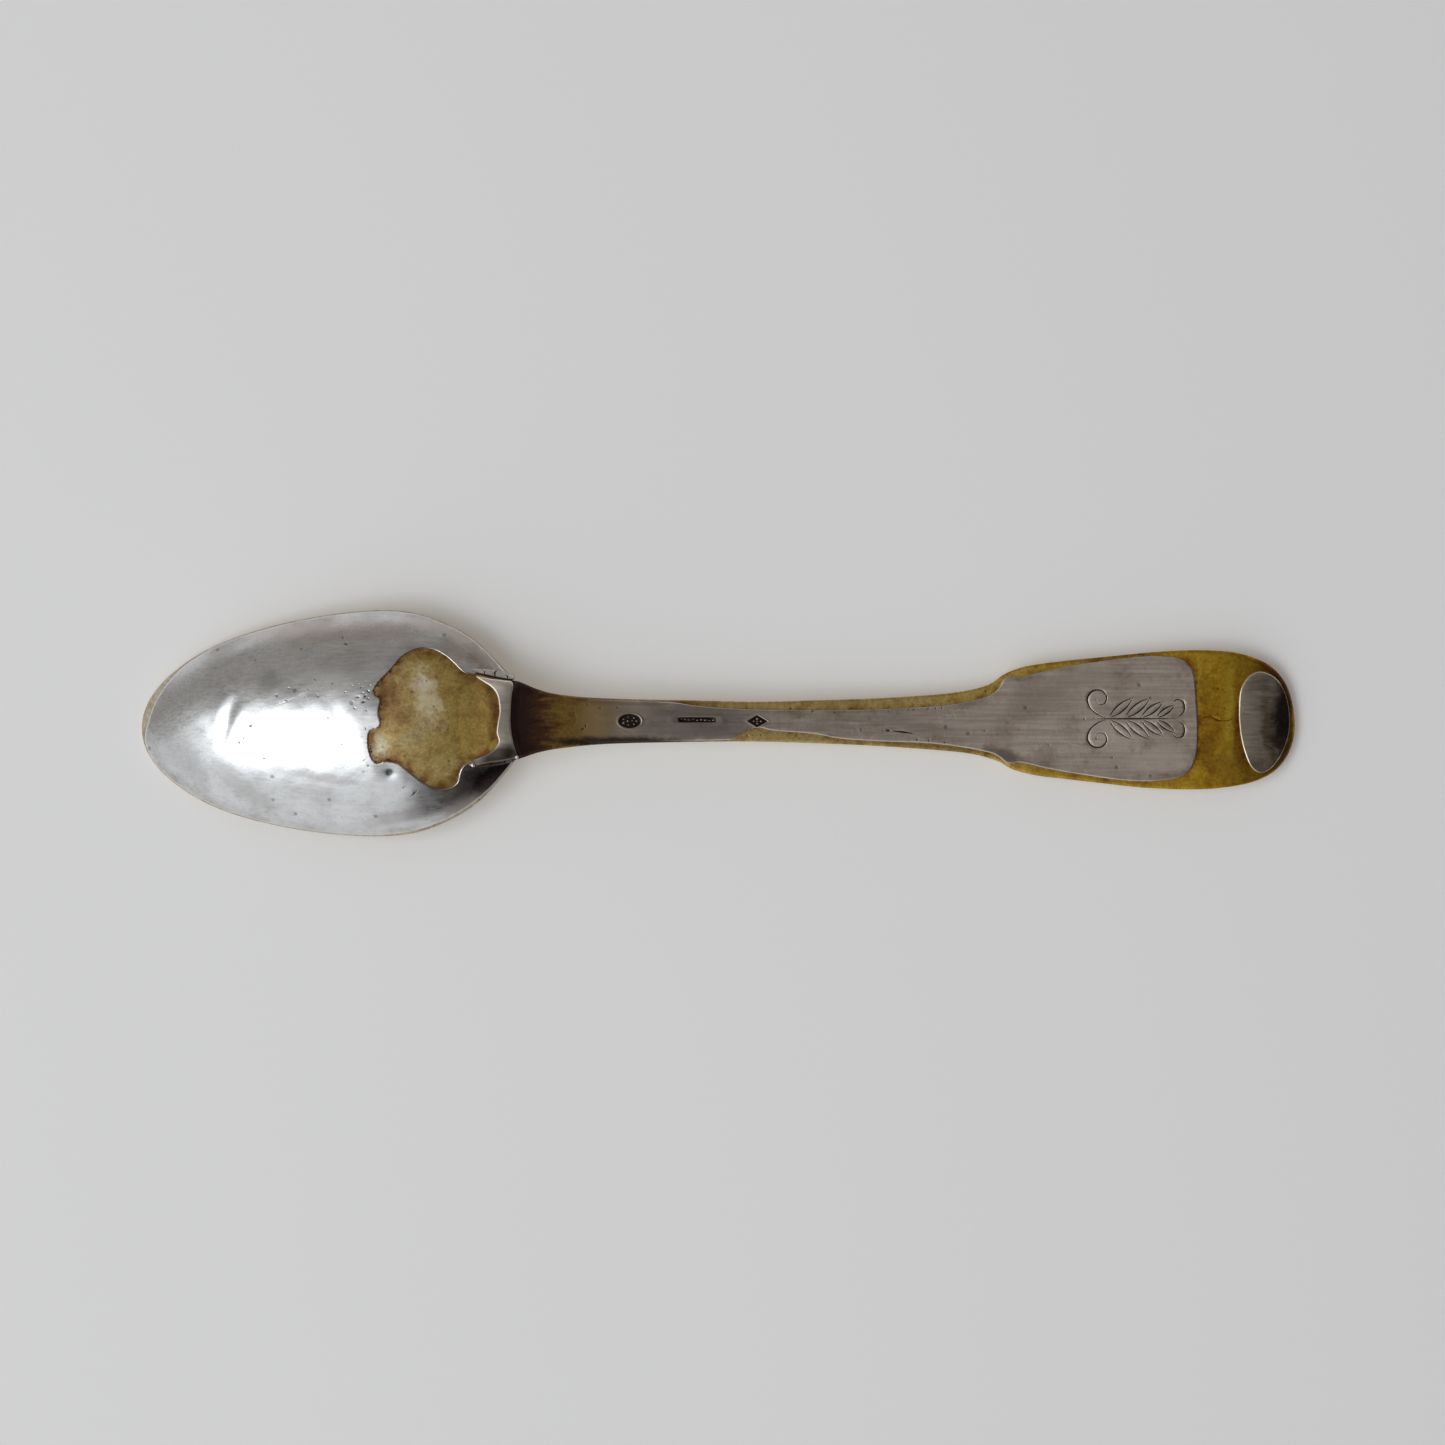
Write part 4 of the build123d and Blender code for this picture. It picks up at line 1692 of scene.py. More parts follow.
@dataclass
class Bowl:
    """The dished bowl and the silver skin over its back."""

    thickness: float = 0.2
    core_spacing: float = 0.42
    skin_spacing: float = 0.3
    lip: float = 0.12
    pits: tuple[Pit, ...] = (
        Pit((12.6, -2.7), 0.2), Pit((14.1, -0.6), 0.22, 0.045), Pit((13.2, -2.2), 0.14),
        Pit((15.8, -4.7), 0.16), Pit((17.4, 3.2), 0.16), Pit((18.6, 2.6), 0.14), Pit((18.9, 4.1), 0.14),
        Pit((22.2, 5.2), 0.17), Pit((21.4, 4.0), 0.13), Pit((22.6, 3.1), 0.16), Pit((24.4, 4.7), 0.14),
        Pit((26.0, 9.6), 0.22, 0.05), Pit((20.4, 9.0), 0.16), Pit((23.9, 0.4), 0.12),
        Pit((25.6, -2.9), 0.12), Pit((26.0, 3.6), 0.14), Pit((27.6, 3.0), 0.2),
        Pit((28.3, 2.4), 0.22, 0.05), Pit((28.0, 4.2), 0.16), Pit((28.9, 3.7), 0.2, 0.05),
        Pit((27.2, 1.6), 0.15), Pit((28.7, 1.3), 0.13), Pit((28.6, -0.9), 0.13), Pit((28.4, -4.9), 0.13),
        Pit((28.5, 3.1), 0.18, 0.05), Pit((28.9, 2.8), 0.14, 0.045), Pit((28.2, 3.5), 0.14),
        Pit((29.1, 4.4), 0.13), Pit((27.7, 4.6), 0.1), Pit((26.9, 4.4), 0.1), Pit((28.5, 4.9), 0.1),
        Pit((25.6, 10.4), 0.16, 0.045), Pit((31.5, -6.4), 0.6, 0.07, 1.1), Pit((28.9, -5.6), 0.15),
        Pit((33.3, -8.3), 0.13), Pit((34.6, -9.0), 0.16, 0.05), Pit((14.6, 7.6), 0.14),
    )
    scratches: tuple[Cut, ...] = (
        Cut(((34.0, -9.5), (34.6, -9.1), (35.1, -8.5)), 0.06, 0.04, 0.04),
        Cut(((20.6, -6.5), (21.5, -4.9), (22.9, -3.7)), 0.035, 0.02, 0.015),
        Cut(((22.2, -2.9), (25.1, -2.1), (28.0, -1.9)), 0.035, 0.02, 0.015),
        Cut(((15.2, 1.4), (18.4, 2.3), (22.0, 4.0)), 0.03, 0.02, 0.012),
        Cut(((12.4, -6.4), (13.8, -5.2), (16.4, -4.6)), 0.03, 0.02, 0.012),
        Cut(((33.4, 3.0), (38.4, 3.9), (39.6, 4.6)), 0.03, 0.02, 0.01),
    )

    def build(self, shop: Workshop, yellow: Material, silver: Material, crumb: Material) -> None:
        """Make the bowl, its skin and the crumbs at the worn hole.

        Args:
            shop: What the sub-assemblies share.
            yellow: Finish of the bowl itself.
            silver: Finish of the skin.
            crumb: Finish of the crumbs.
        """
        form = shop.form.bowl
        outer = form.outline(self.lip, 0.22)
        hollow = form.outline(0.0, 0.25, drop=form.wall)
        patch = Path(border_of_patch())
        rows = offset_rings(outer, (0.08, 0.2))
        steps = ((0, 0), (0.3, 0.1), (-0.1, 0.3))
        near_patch = np.vstack([patch.points[::3] + np.array(step) for step in steps])
        plan = Plan(outer, self.core_spacing, [hollow, rows, near_patch])
        core = plan.solid("bowl_metal", shop.place, form.back, form.inside)
        x, y = plan.points.T
        plan.mark(core, "border", patch.distance(x, y), under=FAR)
        plan.mark(core, "front", np.zeros(len(x)), under=1.0)
        plan.mark(core, "rim", 1 - eased(0.9, 2.0, Path(outer, closed=True).distance(x, y)))
        shop.finish(core, yellow, Slot.YELLOW, "bowl")

        edge = self.skin_edge(form)
        features = [*self.pits, *self.scratches]
        fine = [feature.refine() for feature in features]
        plan = Plan(edge, self.skin_spacing, [offset_rings(edge, EDGE_ROWS), *fine])
        line = Path(edge, closed=True)

        def top(x: Array, y: Array) -> Array:
            """Upper surface of the skin."""
            return form.back(x, y) + self.thickness * lip_of(line.distance(x, y)) - depth_of(features, x, y)

        skin = plan.solid("bowl_silver", shop.place, top, form.back)
        x, y = plan.points.T
        plan.mark(skin, "border", line.distance(x, y))
        plan.mark(skin, "sunk", np.clip(depth_of(features, x, y) / 0.03, 0, 1) * 0.85)
        shop.finish(skin, silver, Slot.SILVER, "bowl_facing")
        self.crumbs(shop, patch, crumb)

    @staticmethod
    def crumbs(shop: Workshop, patch: Path, material: Material) -> None:
        """Corrosion crumbs that cling to the left edge of the worn hole.

        Args:
            shop: What the sub-assemblies share.
            patch: Edge of the worn hole.
            material: Finish of the crumbs.
        """
        chance = np.random.default_rng(8)
        edge = patch.points[patch.points[:, 0] < 32.6]
        chosen = edge[np.sort(chance.choice(len(edge), 70, replace=False))]
        x, y = (chosen + chance.normal(0.06, 0.1, chosen.shape)).T
        height = shop.form.bowl.back(x, y) + 0.05
        size = (0.11 * MM, 0.09 * MM, 0.07 * MM)
        settings = {"Size": size, "Unevenness": 0.5, "Seed": 21, "Finish": material}
        piece = shop.loose_beads.beads("edge_crumbs", shop.place.set_down(x, y, height), settings)
        shop.finish(piece, None, Slot.YELLOW)

    def skin_edge(self, form: BowlForm) -> Array:
        """Outline of the skin: just inside the rim, open over the heel, and round the worn hole.

        Args:
            form: Shape of the bowl.

        Returns:
            The closed outline.
        """
        outer = form.outline(self.lip, 0.16)
        x, y = outer.T
        bare_tip = np.exp(-(((x - 0.2) / 3.6) ** 2)) * eased(-3.5, 1.0, y)
        bare_side = eased(28.0, 36.0, x) * (1 - eased(42.0, 45.5, x)) * (y < 0)
        inset = 0.12 + 0.75 * bare_tip + 0.2 * bare_side
        rim = outer + inward_of(outer) * inset[:, None]
        far_root = np.argmin(np.hypot(rim[:, 0] - 47.4, rim[:, 1] - 5.6))
        near_root = np.argmin(np.hypot(rim[:, 0] - 47.3, rim[:, 1] + 5.4))
        round_tip = np.roll(rim, -far_root, axis=0)
        round_tip = round_tip[: (near_root - far_root) % len(rim) + 1]
        near_seam = np.array([(46.4, -5.0), (44.4, -5.25), (42.8, -5.35)])
        far_seam = np.array([(42.9, 5.95), (44.6, 5.8), (46.4, 5.5)])
        whole = np.vstack([round_tip, evenly(near_seam, 0.3), border_of_patch()[::-1], evenly(far_seam, 0.3)])
        return evenly(whole, 0.13, closed=True)


@dataclass
class Heel:
    """Top of the heel: its silver band and the two solder runs."""

    thickness: float = 0.2
    outline: tuple[tuple[float, float], ...] = (
        (42.3, 5.62), (43.14, 4.98), (44.23, 4.22), (44.9, 3.32), (45.15, 2.23), (45.22, 1.06),
        (44.99, -0.28), (44.87, -1.46), (45.12, -2.5), (44.65, -3.4), (43.81, -4.06), (42.64, -4.56),
        (41.5, -5.0), (42.3, -5.4), (44.2, -5.15), (46.2, -4.85), (47.35, -4.45), (47.0, -2.9),
        (46.68, -1.2), (46.6, 0.4), (46.72, 2.8), (46.88, 4.75), (45.6, 5.1), (44.0, 5.3),
    )
    far_strip: tuple[tuple[float, float, float], ...] = (
        (41.5, 6.42, 0.12), (42.6, 6.3, 0.28), (44.2, 6.06, 0.4), (45.8, 5.74, 0.42), (46.6, 5.54, 0.34),
        (47.1, 5.4, 0.18),
    )
    far_lift: tuple[tuple[float, float], ...] = (
        (41.4, 0.16), (42.4, 0.36), (43.3, 0.75), (44.6, 1.3), (46.0, 1.9), (46.8, 2.2), (47.6, 2.4),
    )
    far_cracks: tuple[Cut, ...] = (
        Cut(((43.0, 6.5), (43.35, 6.15), (43.3, 5.8)), 0.05, 0.03, 0.2),
        Cut(((44.9, 6.3), (44.6, 5.95), (44.8, 5.5)), 0.06, 0.03, 0.3),
        Cut(((45.95, 5.75), (46.2, 5.6), (46.2, 5.2)), 0.05, 0.03, 0.2),
    )
    near_strip: tuple[tuple[float, float, float], ...] = (
        (42.0, -5.52, 0.1), (43.4, -5.5, 0.2), (45.2, -5.26, 0.24), (46.4, -5.04, 0.2), (46.95, -4.92, 0.12),
    )
    near_lift: tuple[tuple[float, float], ...] = (
        (41.8, 0.2), (43.4, 0.55), (45.2, 1.15), (46.5, 1.75), (47.6, 2.4),
    )
    near_cracks: tuple[Cut, ...] = (
        Cut(((44.1, -5.1), (44.2, -5.4), (44.15, -5.7)), 0.05, 0.03, 0.2),
        Cut(((46.0, -4.8), (45.9, -5.1), (46.0, -5.4)), 0.05, 0.03, 0.2),
    )

    def build(self, shop: Workshop, silver: Material, bright: Material, dark: Material) -> None:
        """Make the band and the runs.

        Args:
            shop: What the sub-assemblies share.
            silver: Finish of the band.
            bright: Finish of the far run and of the balls.
            dark: Finish of the near run.
        """
        edge = anticlockwise(flowing(self.outline, 0.12, closed=True))
        line = Path(edge, closed=True)
        plan = Plan(edge, 0.28, [offset_rings(edge, EDGE_ROWS)])

        def top(x: Array, y: Array) -> Array:
            """Upper surface of the band."""
            return shop.form.handle_back(x, y) + self.thickness * lip_of(line.distance(x, y))

        band = plan.solid("heel_silver", shop.place, top, lambda x, y: shop.form.handle_back(x, y) - 0.02)
        x, y = plan.points.T
        plan.mark(band, "border", line.distance(x, y))
        # Painted shade: the sunk value here darkens the band towards its lower end; nothing is sunk there.
        plan.mark(band, "sunk", 0.68 * eased(-3.2, -4.6, y))
        shop.finish(band, silver, Slot.SILVER, "heel_facing")

        self.run(shop, "left", self.far_strip, self.far_lift, self.far_cracks, bright)
        self.run(shop, "right", self.near_strip, self.near_lift, self.near_cracks, dark)
        balls = np.array([(41.9, -5.5), (47.38, -4.5)])
        height = shop.form.handle_back(*balls.T) + np.array([0.1, 0.15])
        size = (0.26 * MM, 0.26 * MM, 0.24 * MM)
        settings = {"Size": size, "Unevenness": 0.12, "Seed": 4, "Finish": bright}
        drops = shop.loose_beads.beads("solder_drops", shop.place.set_down(*balls.T, height), settings)
        shop.finish(drops, None, Slot.SOLDER)

    @staticmethod
    def run(
        shop: Workshop,
        name: str,
        route: Sequence[tuple[float, float, float]],
        lifts: Sequence[tuple[float, float]],
        cracks: Sequence[Cut],
        material: Material,
    ) -> None:
        """Make a solder run: a strip in the corner beside the tongue, cracked into plates.

        Args:
            shop: What the sub-assemblies share.
            name: Side of the tongue, as in the name of the CAD node.
            route: Station, sideways place and half width of the strip.
            lifts: Station and height over the bowl's back.
            cracks: Cuts between the plates.
            material: Finish of the run.
        """
        x, y, half = flowing(route, 0.08).T
        middle = np.column_stack([x, y])
        across = left_of(np.gradient(middle, axis=0)) * half[:, None]
        loop = evenly(np.vstack([middle - across, (middle + across)[::-1]]), 0.08, closed=True)
        line = Path(loop, closed=True)
        rows = offset_rings(loop, (0.04, 0.09, 0.15))
        plan = Plan(loop, 0.14, [rows, *(crack.refine() for crack in cracks)])
        lift = natural_curve(lifts)

        def top(x: Array, y: Array) -> Array:
            """Upper surface of the strip, never far over the tongue's back."""
            flat = np.minimum(shop.form.bowl.back(x, y) + lift(x), shop.form.handle_back(x, y) + 0.06)
            return flat - 0.12 * (1 - rounded(line.distance(x, y), 0.14)) - depth_of(cracks, x, y)

        def under(x: Array, y: Array) -> Array:
            """Underside of the strip, in the bowl's back but never below its rim."""
            bowl = shop.form.bowl
            return np.maximum(bowl.back(x, y) - 0.1, bowl.rim_height(x, y) + 0.25)

        piece = plan.solid("solder_" + name, shop.place, top, under)
        x, y = plan.points.T
        outline = 0.75 * (1 - eased(0.02, 0.1, line.distance(x, y)))
        plan.mark(piece, "sunk", np.maximum(np.clip(depth_of(cracks, x, y) / 0.1, 0, 1), outline))
        shop.finish(piece, material, Slot.SOLDER, "heel_seam_" + name)


@dataclass
class Handle:
    """The forged handle and the silver on its back: the long facing and the oval at the end."""

    thickness: float = 0.2
    spacing: float = 0.4
    facing: tuple[tuple[float, float], ...] = (
        (54.6, 1.6), (56.4, 2.6), (59.0, 2.62), (66.5, 2.35), (69.5, 1.95), (73.5, 1.62), (77.6, 1.44),
        (85.1, 1.38), (92.9, 1.5), (100.6, 1.96), (104.9, 2.68), (106.7, 3.3), (107.7, 4.15), (108.25, 5.1),
        (108.75, 5.52), (109.5, 5.6), (110.7, 5.58), (112.3, 5.98), (115.2, 6.62), (120.1, 7.42),
        (126.2, 8.1), (128.9, 8.06), (130.5, 7.8), (131.65, 6.95), (132.3, 5.59), (132.62, 1.9),
        (132.75, -1.53), (132.55, -4.17), (131.85, -6.05), (130.7, -6.95), (128.9, -7.35), (126.2, -7.58),
        (122.3, -7.33), (117.0, -6.54), (113.8, -5.96), (111.6, -5.42), (110.3, -5.2), (109.3, -5.32),
        (108.6, -5.2), (107.8, -4.55), (106.9, -4.08), (105.0, -3.62), (101.5, -3.05), (97.9, -2.72),
        (92.9, -2.55), (87.9, -2.2), (84.8, -1.65), (81.5, -1.36), (79.2, -1.16), (77.9, -0.86),
        (76.7, -0.98), (75.6, -1.6), (74.4, -2.2), (73.2, -2.4), (66.0, -2.5), (59.0, -2.66), (56.0, -2.6),
        (54.4, -1.5), (54.9, 0.2),
    )
    oval: tuple[tuple[float, float], ...] = (
        (137.85, 1.37), (138.1, 4.0), (139.2, 5.7), (140.7, 6.2), (142.5, 5.4), (143.65, 3.7),
        (144.25, 1.3), (144.2, -1.5), (143.4, -3.9), (142.0, -5.85), (140.6, -6.5), (139.4, -5.75),
        (138.5, -3.64), (138.0, -1.27),
    )
    marks: tuple[Punch, ...] = (
        Punch(MarkShape.OVAL, (61.52, 0.0), 1.42, 0.92),
        Punch(MarkShape.BAR, (69.95, 0.15), 2.55, 0.36),
        Punch(MarkShape.LOZENGE, (77.5, -0.02), 1.3, 0.78),
    )
    wear: tuple[Feature, ...] = (
        Cut(((94.45, -1.24), (95.8, -1.38), (97.15, -1.56)), 0.08, 0.03, 0.1),
        Pit((93.9, -1.2), 0.16, 0.1), Pit((93.2, -1.16), 0.1), Pit((90.5, -1.1), 0.1), Pit((84.4, 1.2), 0.16),
        Pit((87.2, 1.08), 0.13), Pit((94.0, 1.22), 0.1), Pit((96.5, 1.45), 0.12), Pit((97.1, 1.42), 0.12),
        Pit((98.9, 1.56), 0.13), Pit((99.8, 1.62), 0.12), Pit((100.6, 1.72), 0.12), Pit((106.0, -1.25), 0.12),
        Pit((97.5, -2.3), 0.13), Pit((99.0, -2.45), 0.13), Pit((101.0, -2.7), 0.13), Pit((52.6, 1.0), 0.16),
        Pit((55.6, -1.0), 0.2), Pit((56.0, -0.6), 0.16), Pit((57.8, 1.6), 0.12), Pit((56.2, 2.1), 0.14),
        Pit((60.0, 1.7), 0.12), Pit((118.5, 0.25), 0.13), Pit((114.0, -3.0), 0.1), Pit((122.0, -4.6), 0.12),
    )
    spray_axis: float = 0.3
    stem: tuple[Cut, ...] = (
        Cut(((119.8, 0.3), (123.0, 0.3), (127.0, 0.3), (130.2, 0.3)), 0.055, 0.05),
        Cut(((133.1, 0.3), (134.2, 0.55), (135.3, 0.1), (136.4, 0.05), (137.4, 0.35)), 0.055, 0.04),
    )
    curls: tuple[Cut, ...] = (
        Cut(
            (
                (121.6, 0.35), (120.3, 0.75), (119.2, 1.7), (118.9, 2.9), (119.6, 3.8), (120.7, 3.8),
                (121.3, 3.0), (121.0, 2.2), (120.3, 2.1), (120.0, 2.6),
            ),
            0.06, 0.05,
        ),
        Cut(((130.2, 0.45), (131.0, 1.3), (130.9, 2.4), (130.1, 2.7), (129.6, 2.2)), 0.055, 0.04),
    )
    leaves: tuple[tuple[float, float, float], ...] = (
        (121.6, 3.9, 40.0), (123.6, 4.0, 38.0), (125.6, 3.5, 36.0), (127.5, 2.9, 34.0),
    )

    def leaf_cuts(self) -> list[Cut]:
        """Two bowed cuts for each leaf on one side of the stem.

        Returns:
            The cuts.
        """
        cuts = []
        for start, length, turn in self.leaves:
            ahead = np.array([math.cos(math.radians(turn)), math.sin(math.radians(turn))])
            across = np.array([-ahead[1], ahead[0]])
            base = np.array([start, self.spray_axis + 0.12])
            for side in (0.115, -0.115):
                shares = (0, 0.25, 0.5, 0.75, 1)
                bow = [base + length * (t * ahead + side * 4 * t * (1 - t) * across) for t in shares]
                cuts.append(Cut(tuple((float(x), float(y)) for x, y in bow), 0.05, 0.045, 0.065))
        return cuts

    def spray(self) -> list[Cut]:
        """Engraved leaf spray, the same on both sides of its stem."""
        half = [*self.curls, *self.leaf_cuts()]
        return [self.stem[0], *half, *mirrored(half, self.spray_axis)]

    def build(
        self, shop: Workshop, yellow: Material, silver: Material, tip: Material,
        dark: Material,
    ) -> None:
        """Make the handle, its facings and what stands in the punched marks.

        Args:
            shop: What the sub-assemblies share.
            yellow: Finish of the handle itself.
            silver: Finish of the long facing.
            tip: Finish of the oval facing.
            dark: Finish of the grains in the marks.
        """
        form = shop.form
        rows = offset_rings(form.handle_loop, (0.05, 0.12, 0.22, 0.34, 0.5))
        crest = [
            np.column_stack([np.full(60, form.handle.crest + step / 10), np.linspace(-5.2, 5.4, 60)])
            for step in range(-1, 9)
        ]
        tail = [self.stem[1]]
        fine = [cut.refine() for cut in tail]
        plan = Plan(form.handle_loop, self.spacing, [rows, *crest, *fine])

        def back(x: Array, y: Array) -> Array:
            """The handle's back with the engraved tail."""
            return form.handle_back(x, y) - depth_of(tail, x, y)

        core = plan.solid("handle_metal", shop.place, back, form.handle_front)
        x, y = plan.points.T
        facing_edge = Path(self.facing_loop(0.16), closed=True)
        patch = Path(border_of_patch())
        heel = Path(flowing(Heel.outline, 0.12, closed=True), closed=True)
        near_heel = np.minimum(patch.distance(x, y), heel.distance(x, y))
        oval_edge = Path(flowing(self.oval, 0.15, closed=True), closed=True)
        on_blade = np.minimum(facing_edge.distance(x, y), oval_edge.distance(x, y)) + 0.45
        on_blade = on_blade + 2.5 * (1 - eased(60.0, 70.0, x))
        plan.mark(core, "border", np.where(x < 47.0, near_heel, on_blade), under=FAR)
        plan.mark(core, "front", np.zeros(len(x)), under=1.0)
        plan.mark(core, "sunk", np.clip(depth_of(tail, x, y) / 0.02, 0, 1), under=0.0)
        shop.finish(core, yellow, Slot.YELLOW, "handle")

        features = [*self.marks, *self.wear, *self.spray()]
        self.sheet(shop, "handle", self.facing_loop(0.13), features, silver)
        scratch = Cut(((140.1, -2.6), (141.6, -3.1), (143.0, -4.0)), 0.05, 0.03, 0.04)
        self.sheet(shop, "tip", self.oval_loop(), [scratch], tip)
        self.fill_marks(shop, dark)

    def facing_loop(self, step: float) -> Array:
        """Outline of the long facing, anticlockwise."""
        return anticlockwise(flowing(self.facing, step, closed=True))

    def oval_loop(self) -> Array:
        """Outline of the oval facing, anticlockwise."""
        return anticlockwise(flowing(self.oval, 0.12, closed=True))

    def sheet(
        self, shop: Workshop, name: str, loop: Array, features: Sequence[Feature], material: Material
    ) -> None:
        """Make one silver facing on the handle's back.

        Args:
            shop: What the sub-assemblies share.
            name: What the facing lies on.
            loop: Outline of the facing, anticlockwise.
            features: What is cut or punched into it.
            material: Its finish.
        """
        line = Path(loop, closed=True)
        fine = [feature.refine() for feature in features]
        plan = Plan(loop, 0.3, [offset_rings(loop, EDGE_ROWS), *fine])

        def top(x: Array, y: Array) -> Array:
            """Upper surface of the facing, which thins out towards the neck."""
            thick = self.thickness * (0.06 + 0.94 * eased(54.4, 59.0, x)) * lip_of(line.distance(x, y))
            return shop.form.handle_back(x, y) + thick - depth_of(features, x, y)

        piece = plan.solid(name + "_silver", shop.place, top, lambda x, y: shop.form.handle_back(x, y) - 0.15)
        x, y = plan.points.T
        plan.mark(piece, "border", line.distance(x, y) + 2.0 * (1 - eased(58.0, 66.0, x)))
        plan.mark(piece, "sunk", np.clip(depth_of(features, x, y) / 0.022, 0, 1))
        shop.finish(piece, material, Slot.SILVER, name + "_facing")

    def fill_marks(self, shop: Workshop, dark: Material) -> None:
        """Set plain grains and bars in the sunk fields of the marks, in a pattern that says nothing.

        Args:
            shop: What the sub-assemblies share.
            dark: Finish of the grains and the bar.
        """
        oval, bar, lozenge = self.marks
        turns = np.arange(7) * 2 * math.pi / 7
        ring = [(oval.centre[0] + 0.85 * math.cos(a), oval.centre[1] + 0.5 * math.sin(a)) for a in turns]
        dots = [*ring, (oval.centre[0] - 0.25, 0.0), (oval.centre[0] + 0.3, 0.05)]
        cross = ((0.0, 0.3), (-0.45, 0.0), (0.45, 0.0), (0.0, -0.3), (0.0, 0.0))
        dots += [(lozenge.centre[0] + u, lozenge.centre[1] + v) for u, v in cross]
        places = np.array(dots)
        height = shop.form.handle_back(*places.T) + self.thickness - 0.11
        size = (0.17 * MM, 0.13 * MM, 0.07 * MM)
        settings = {"Size": size, "Unevenness": 0.3, "Seed": 7, "Finish": dark}
        grains = shop.loose_beads.beads("mark_grains", shop.place.set_down(*places.T, height), settings)
        shop.finish(grains, None, Slot.SILVER)
        x = np.linspace(bar.centre[0] - 2.0, bar.centre[0] + 2.1, 40)
        y = bar.centre[1] - 0.04 * (x - bar.centre[0]) + 0.06 * np.sin(x * 5.0)
        height = shop.form.handle_back(x, y) + self.thickness - 0.12
        size = (0.22 * MM, 0.11 * MM, 0.07 * MM)
        settings = {"Spacing": 0.5 * MM, "Size": size, "Unevenness": 0.35, "Seed": 2, "Finish": dark}
        line = shop.line_beads.beads("mark_line", shop.place.set_down(x, y, height), settings)
        shop.finish(line, None, Slot.SILVER)


# ---------------- studio


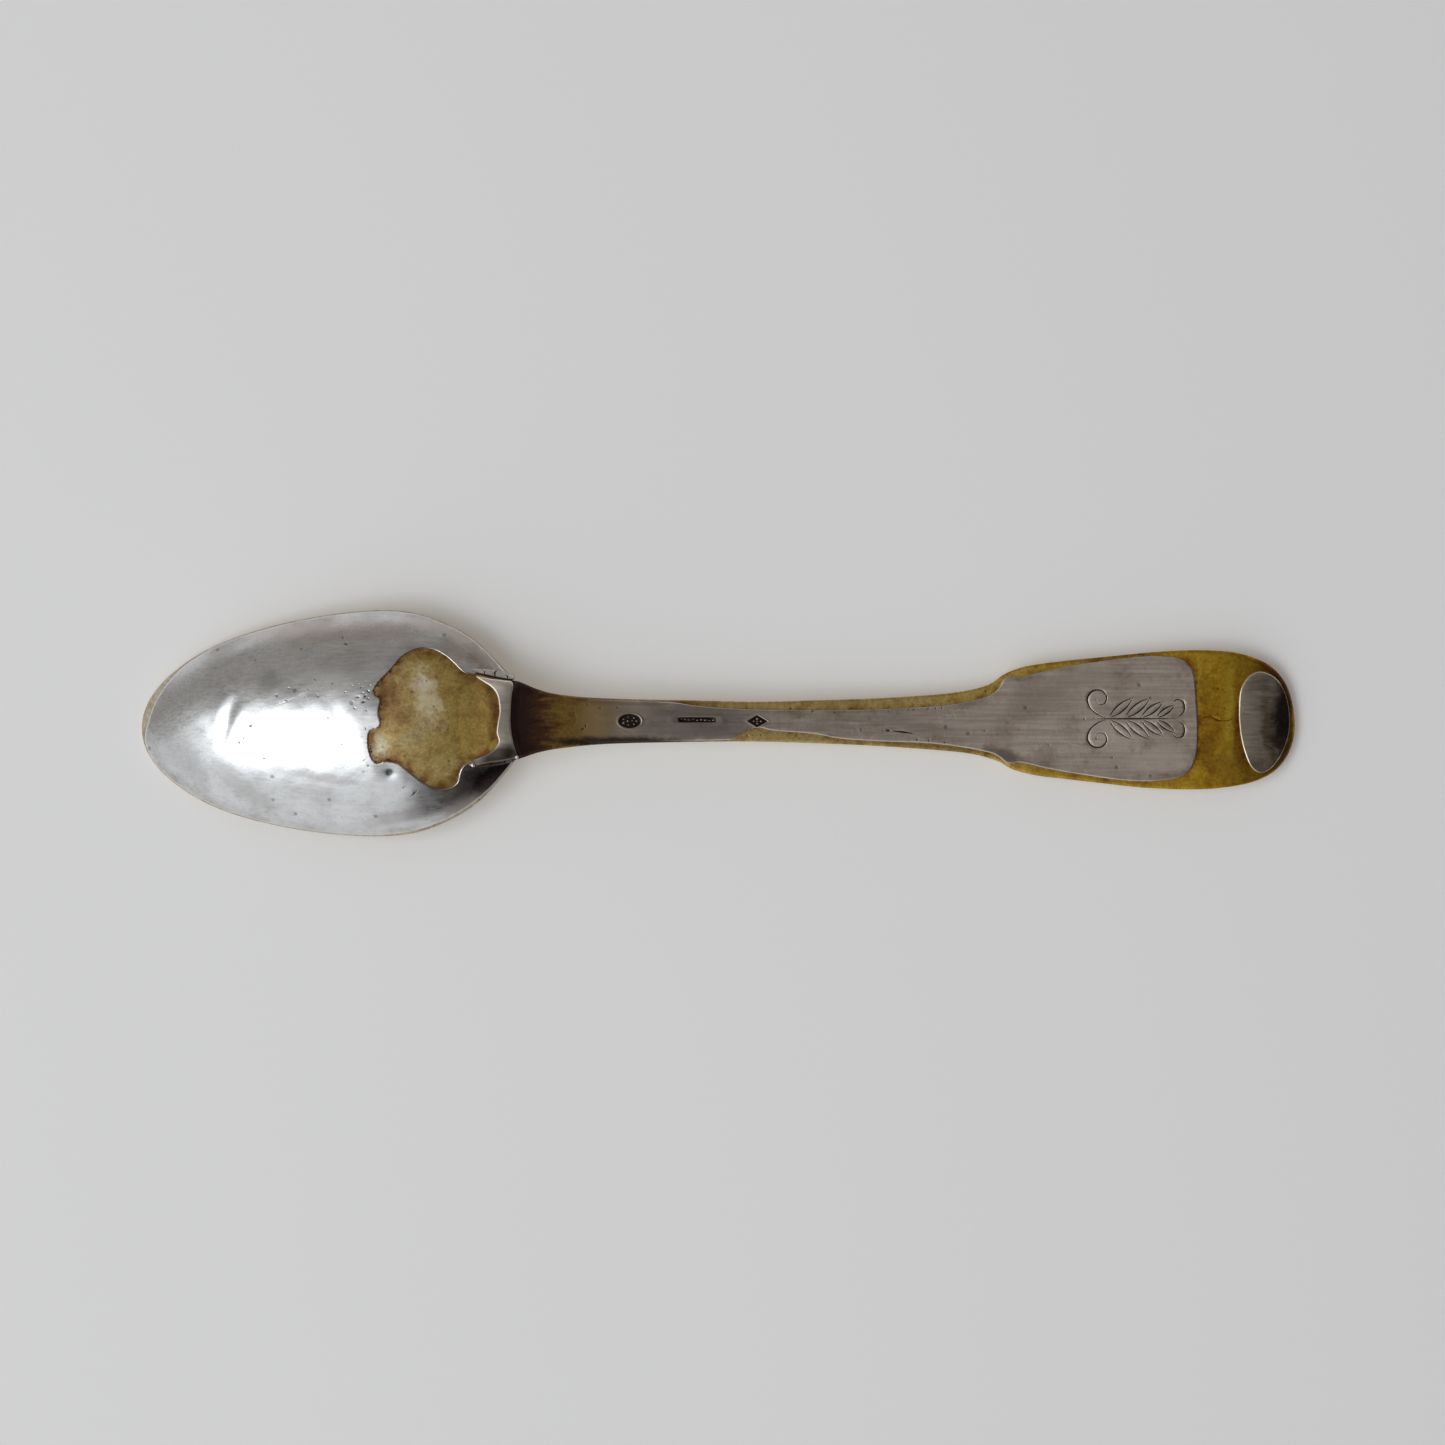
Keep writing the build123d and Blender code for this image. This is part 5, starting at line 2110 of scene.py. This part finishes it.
@dataclass
class Studio:
    """Pale floor, soft light from the left and the camera straight above."""

    floor_size: float = 3.0
    floor_tone: tuple[float, float, float] = (0.94, 0.935, 0.935)
    floor_glow: float = 0.14
    camera_height: float = 1.5
    view_width: float = 0.1811
    sensor: float = 36.0

    def build(self) -> None:
        """Make the floor, the lights, the surroundings and the camera."""
        self.floor()
        self.lights()
        self.world()
        self.camera()
        bpy.context.scene.view_settings.view_transform = "Standard"

    def floor(self) -> None:
        """Plain pale floor under the spoon."""
        half = self.floor_size / 2
        corners = np.array([(-half, -half, 0.0), (half, -half, 0.0), (half, half, 0.0), (-half, half, 0.0)])
        floor = new_piece("floor", corners, [(0, 1, 2, 3)])
        made = bpy.data.materials.new("pale_floor")
        made.use_nodes = True
        graph = Graph(made.node_tree)
        made.node_tree.nodes.clear()
        shader = graph.node("BsdfPrincipled", {"Base Color": self.floor_tone, "Roughness": 0.95})
        shader.inputs["Emission Color"].default_value = (*self.floor_tone, 1.0)
        shader.inputs["Emission Strength"].default_value = self.floor_glow
        shader.inputs["Specular IOR Level"].default_value = 0.1
        graph.node("OutputMaterial", {"Surface": shader.outputs[0]})
        floor.data.materials.append(made)

    def lights(self) -> None:
        """One large soft window to the left, leaning towards the near side."""
        data = bpy.data.lights.new("window", "AREA")
        data.shape = "RECTANGLE"
        data.size, data.size_y = 0.54, 0.4
        data.energy = 1.5
        data.color = (0.94, 0.975, 1.0)
        light = bpy.data.objects.new("window", data)
        light.location = (-0.40, -0.13, 0.62)
        light.rotation_euler = (-light.location).to_track_quat("-Z", "Y").to_euler()
        bpy.context.scene.collection.objects.link(light)

    @staticmethod
    def world() -> None:
        """Soft surroundings: grey overhead, bright on the near side, dim towards the handle's end."""
        world = bpy.data.worlds.new("soft_room")
        bpy.context.scene.world = world
        world.use_nodes = True
        world.node_tree.nodes.clear()
        graph = Graph(world.node_tree)
        towards = graph.node("TexCoord").outputs["Generated"]

        def patch(
            colour: object, azimuth: float, zenith: float, inner: float, outer: float, tone: Tone
        ) -> Socket:
            """Lay a soft round area over the surroundings, with its angles in degrees.

            Args:
                colour: The surroundings so far.
                azimuth: Direction of its middle round the vertical.
                zenith: Angle of its middle from straight up.
                inner: Angle from its middle within which it is full.
                outer: Angle from its middle at which it ends.
                tone: Its tone.

            Returns:
                The surroundings with the area laid over them.
            """
            flat, up = math.radians(azimuth), math.radians(zenith)
            centre = (math.sin(up) * math.cos(flat), math.sin(up) * math.sin(flat), math.cos(up))
            near = graph.node("VectorMath", {0: towards, 1: centre}, operation="DOT_PRODUCT").outputs["Value"]
            limits = math.cos(math.radians(outer)), math.cos(math.radians(inner))
            return graph.mix(graph.band(near, *limits), colour, tone)

        shade: object = (0.25, 0.235, 0.22)
        shade = patch(shade, -112.0, 78.0, 32.0, 66.0, (0.66, 0.67, 0.68))
        shade = patch(shade, -160.0, 36.0, 12.0, 34.0, (0.75, 0.78, 0.80))
        shade = patch(shade, -40.0, 80.0, 32.0, 48.0, (0.03, 0.025, 0.025))
        shade = patch(shade, -12.0, 50.0, 28.0, 48.0, (0.015, 0.012, 0.011))
        seen = graph.node("LightPath").outputs["Is Camera Ray"]
        colour = graph.mix(seen, shade, (0.62, 0.61, 0.6))
        background = graph.node("Background", {"Color": colour, "Strength": 1.0})
        graph.node("OutputWorld", {"Surface": background.outputs[0]})

    def camera(self) -> None:
        """Camera straight above the middle of the view."""
        data = bpy.data.cameras.new("camera")
        data.sensor_width = self.sensor
        subject = 0.004
        data.lens = self.sensor * (self.camera_height - subject) / self.view_width
        data.clip_start = 0.01
        camera = bpy.data.objects.new("camera", data)
        camera.location = (0.0006, 0.0001, self.camera_height)
        bpy.context.scene.collection.objects.link(camera)
        bpy.context.scene.camera = camera


# ---------------- whole


def main() -> None:
    """Build the spoon in order, then the studio round it."""
    logging.basicConfig(level=logging.INFO, format="%(name)s: %(message)s")
    place = Place.from_frame()
    form = SpoonForm()
    effects = Effects(place, form.handle.length)
    shop = Workshop(
        place=place,
        form=form,
        effects=effects,
        line_beads=BeadTree("beads_along_line", along_line=True),
        loose_beads=BeadTree("beads_on_points", along_line=False),
    )
    yellow = YELLOW.material(effects, place)
    bowl_silver = BOWL_SILVER.material(effects, place)
    handle_silver = HANDLE_SILVER.material(effects, place)
    tip_silver = TIP_SILVER.material(effects, place)
    heel_silver = HEEL_SILVER.material(effects, place)
    bright = BRIGHT.material(effects)
    dark = DARK.material(effects)
    crumb = CRUMB.material(effects)
    Bowl().build(shop, yellow, bowl_silver, crumb)
    Handle().build(shop, yellow, handle_silver, tip_silver, dark)
    Heel().build(shop, heel_silver, bright, dark)
    Studio().build()


if __name__ == "__main__":
    main()
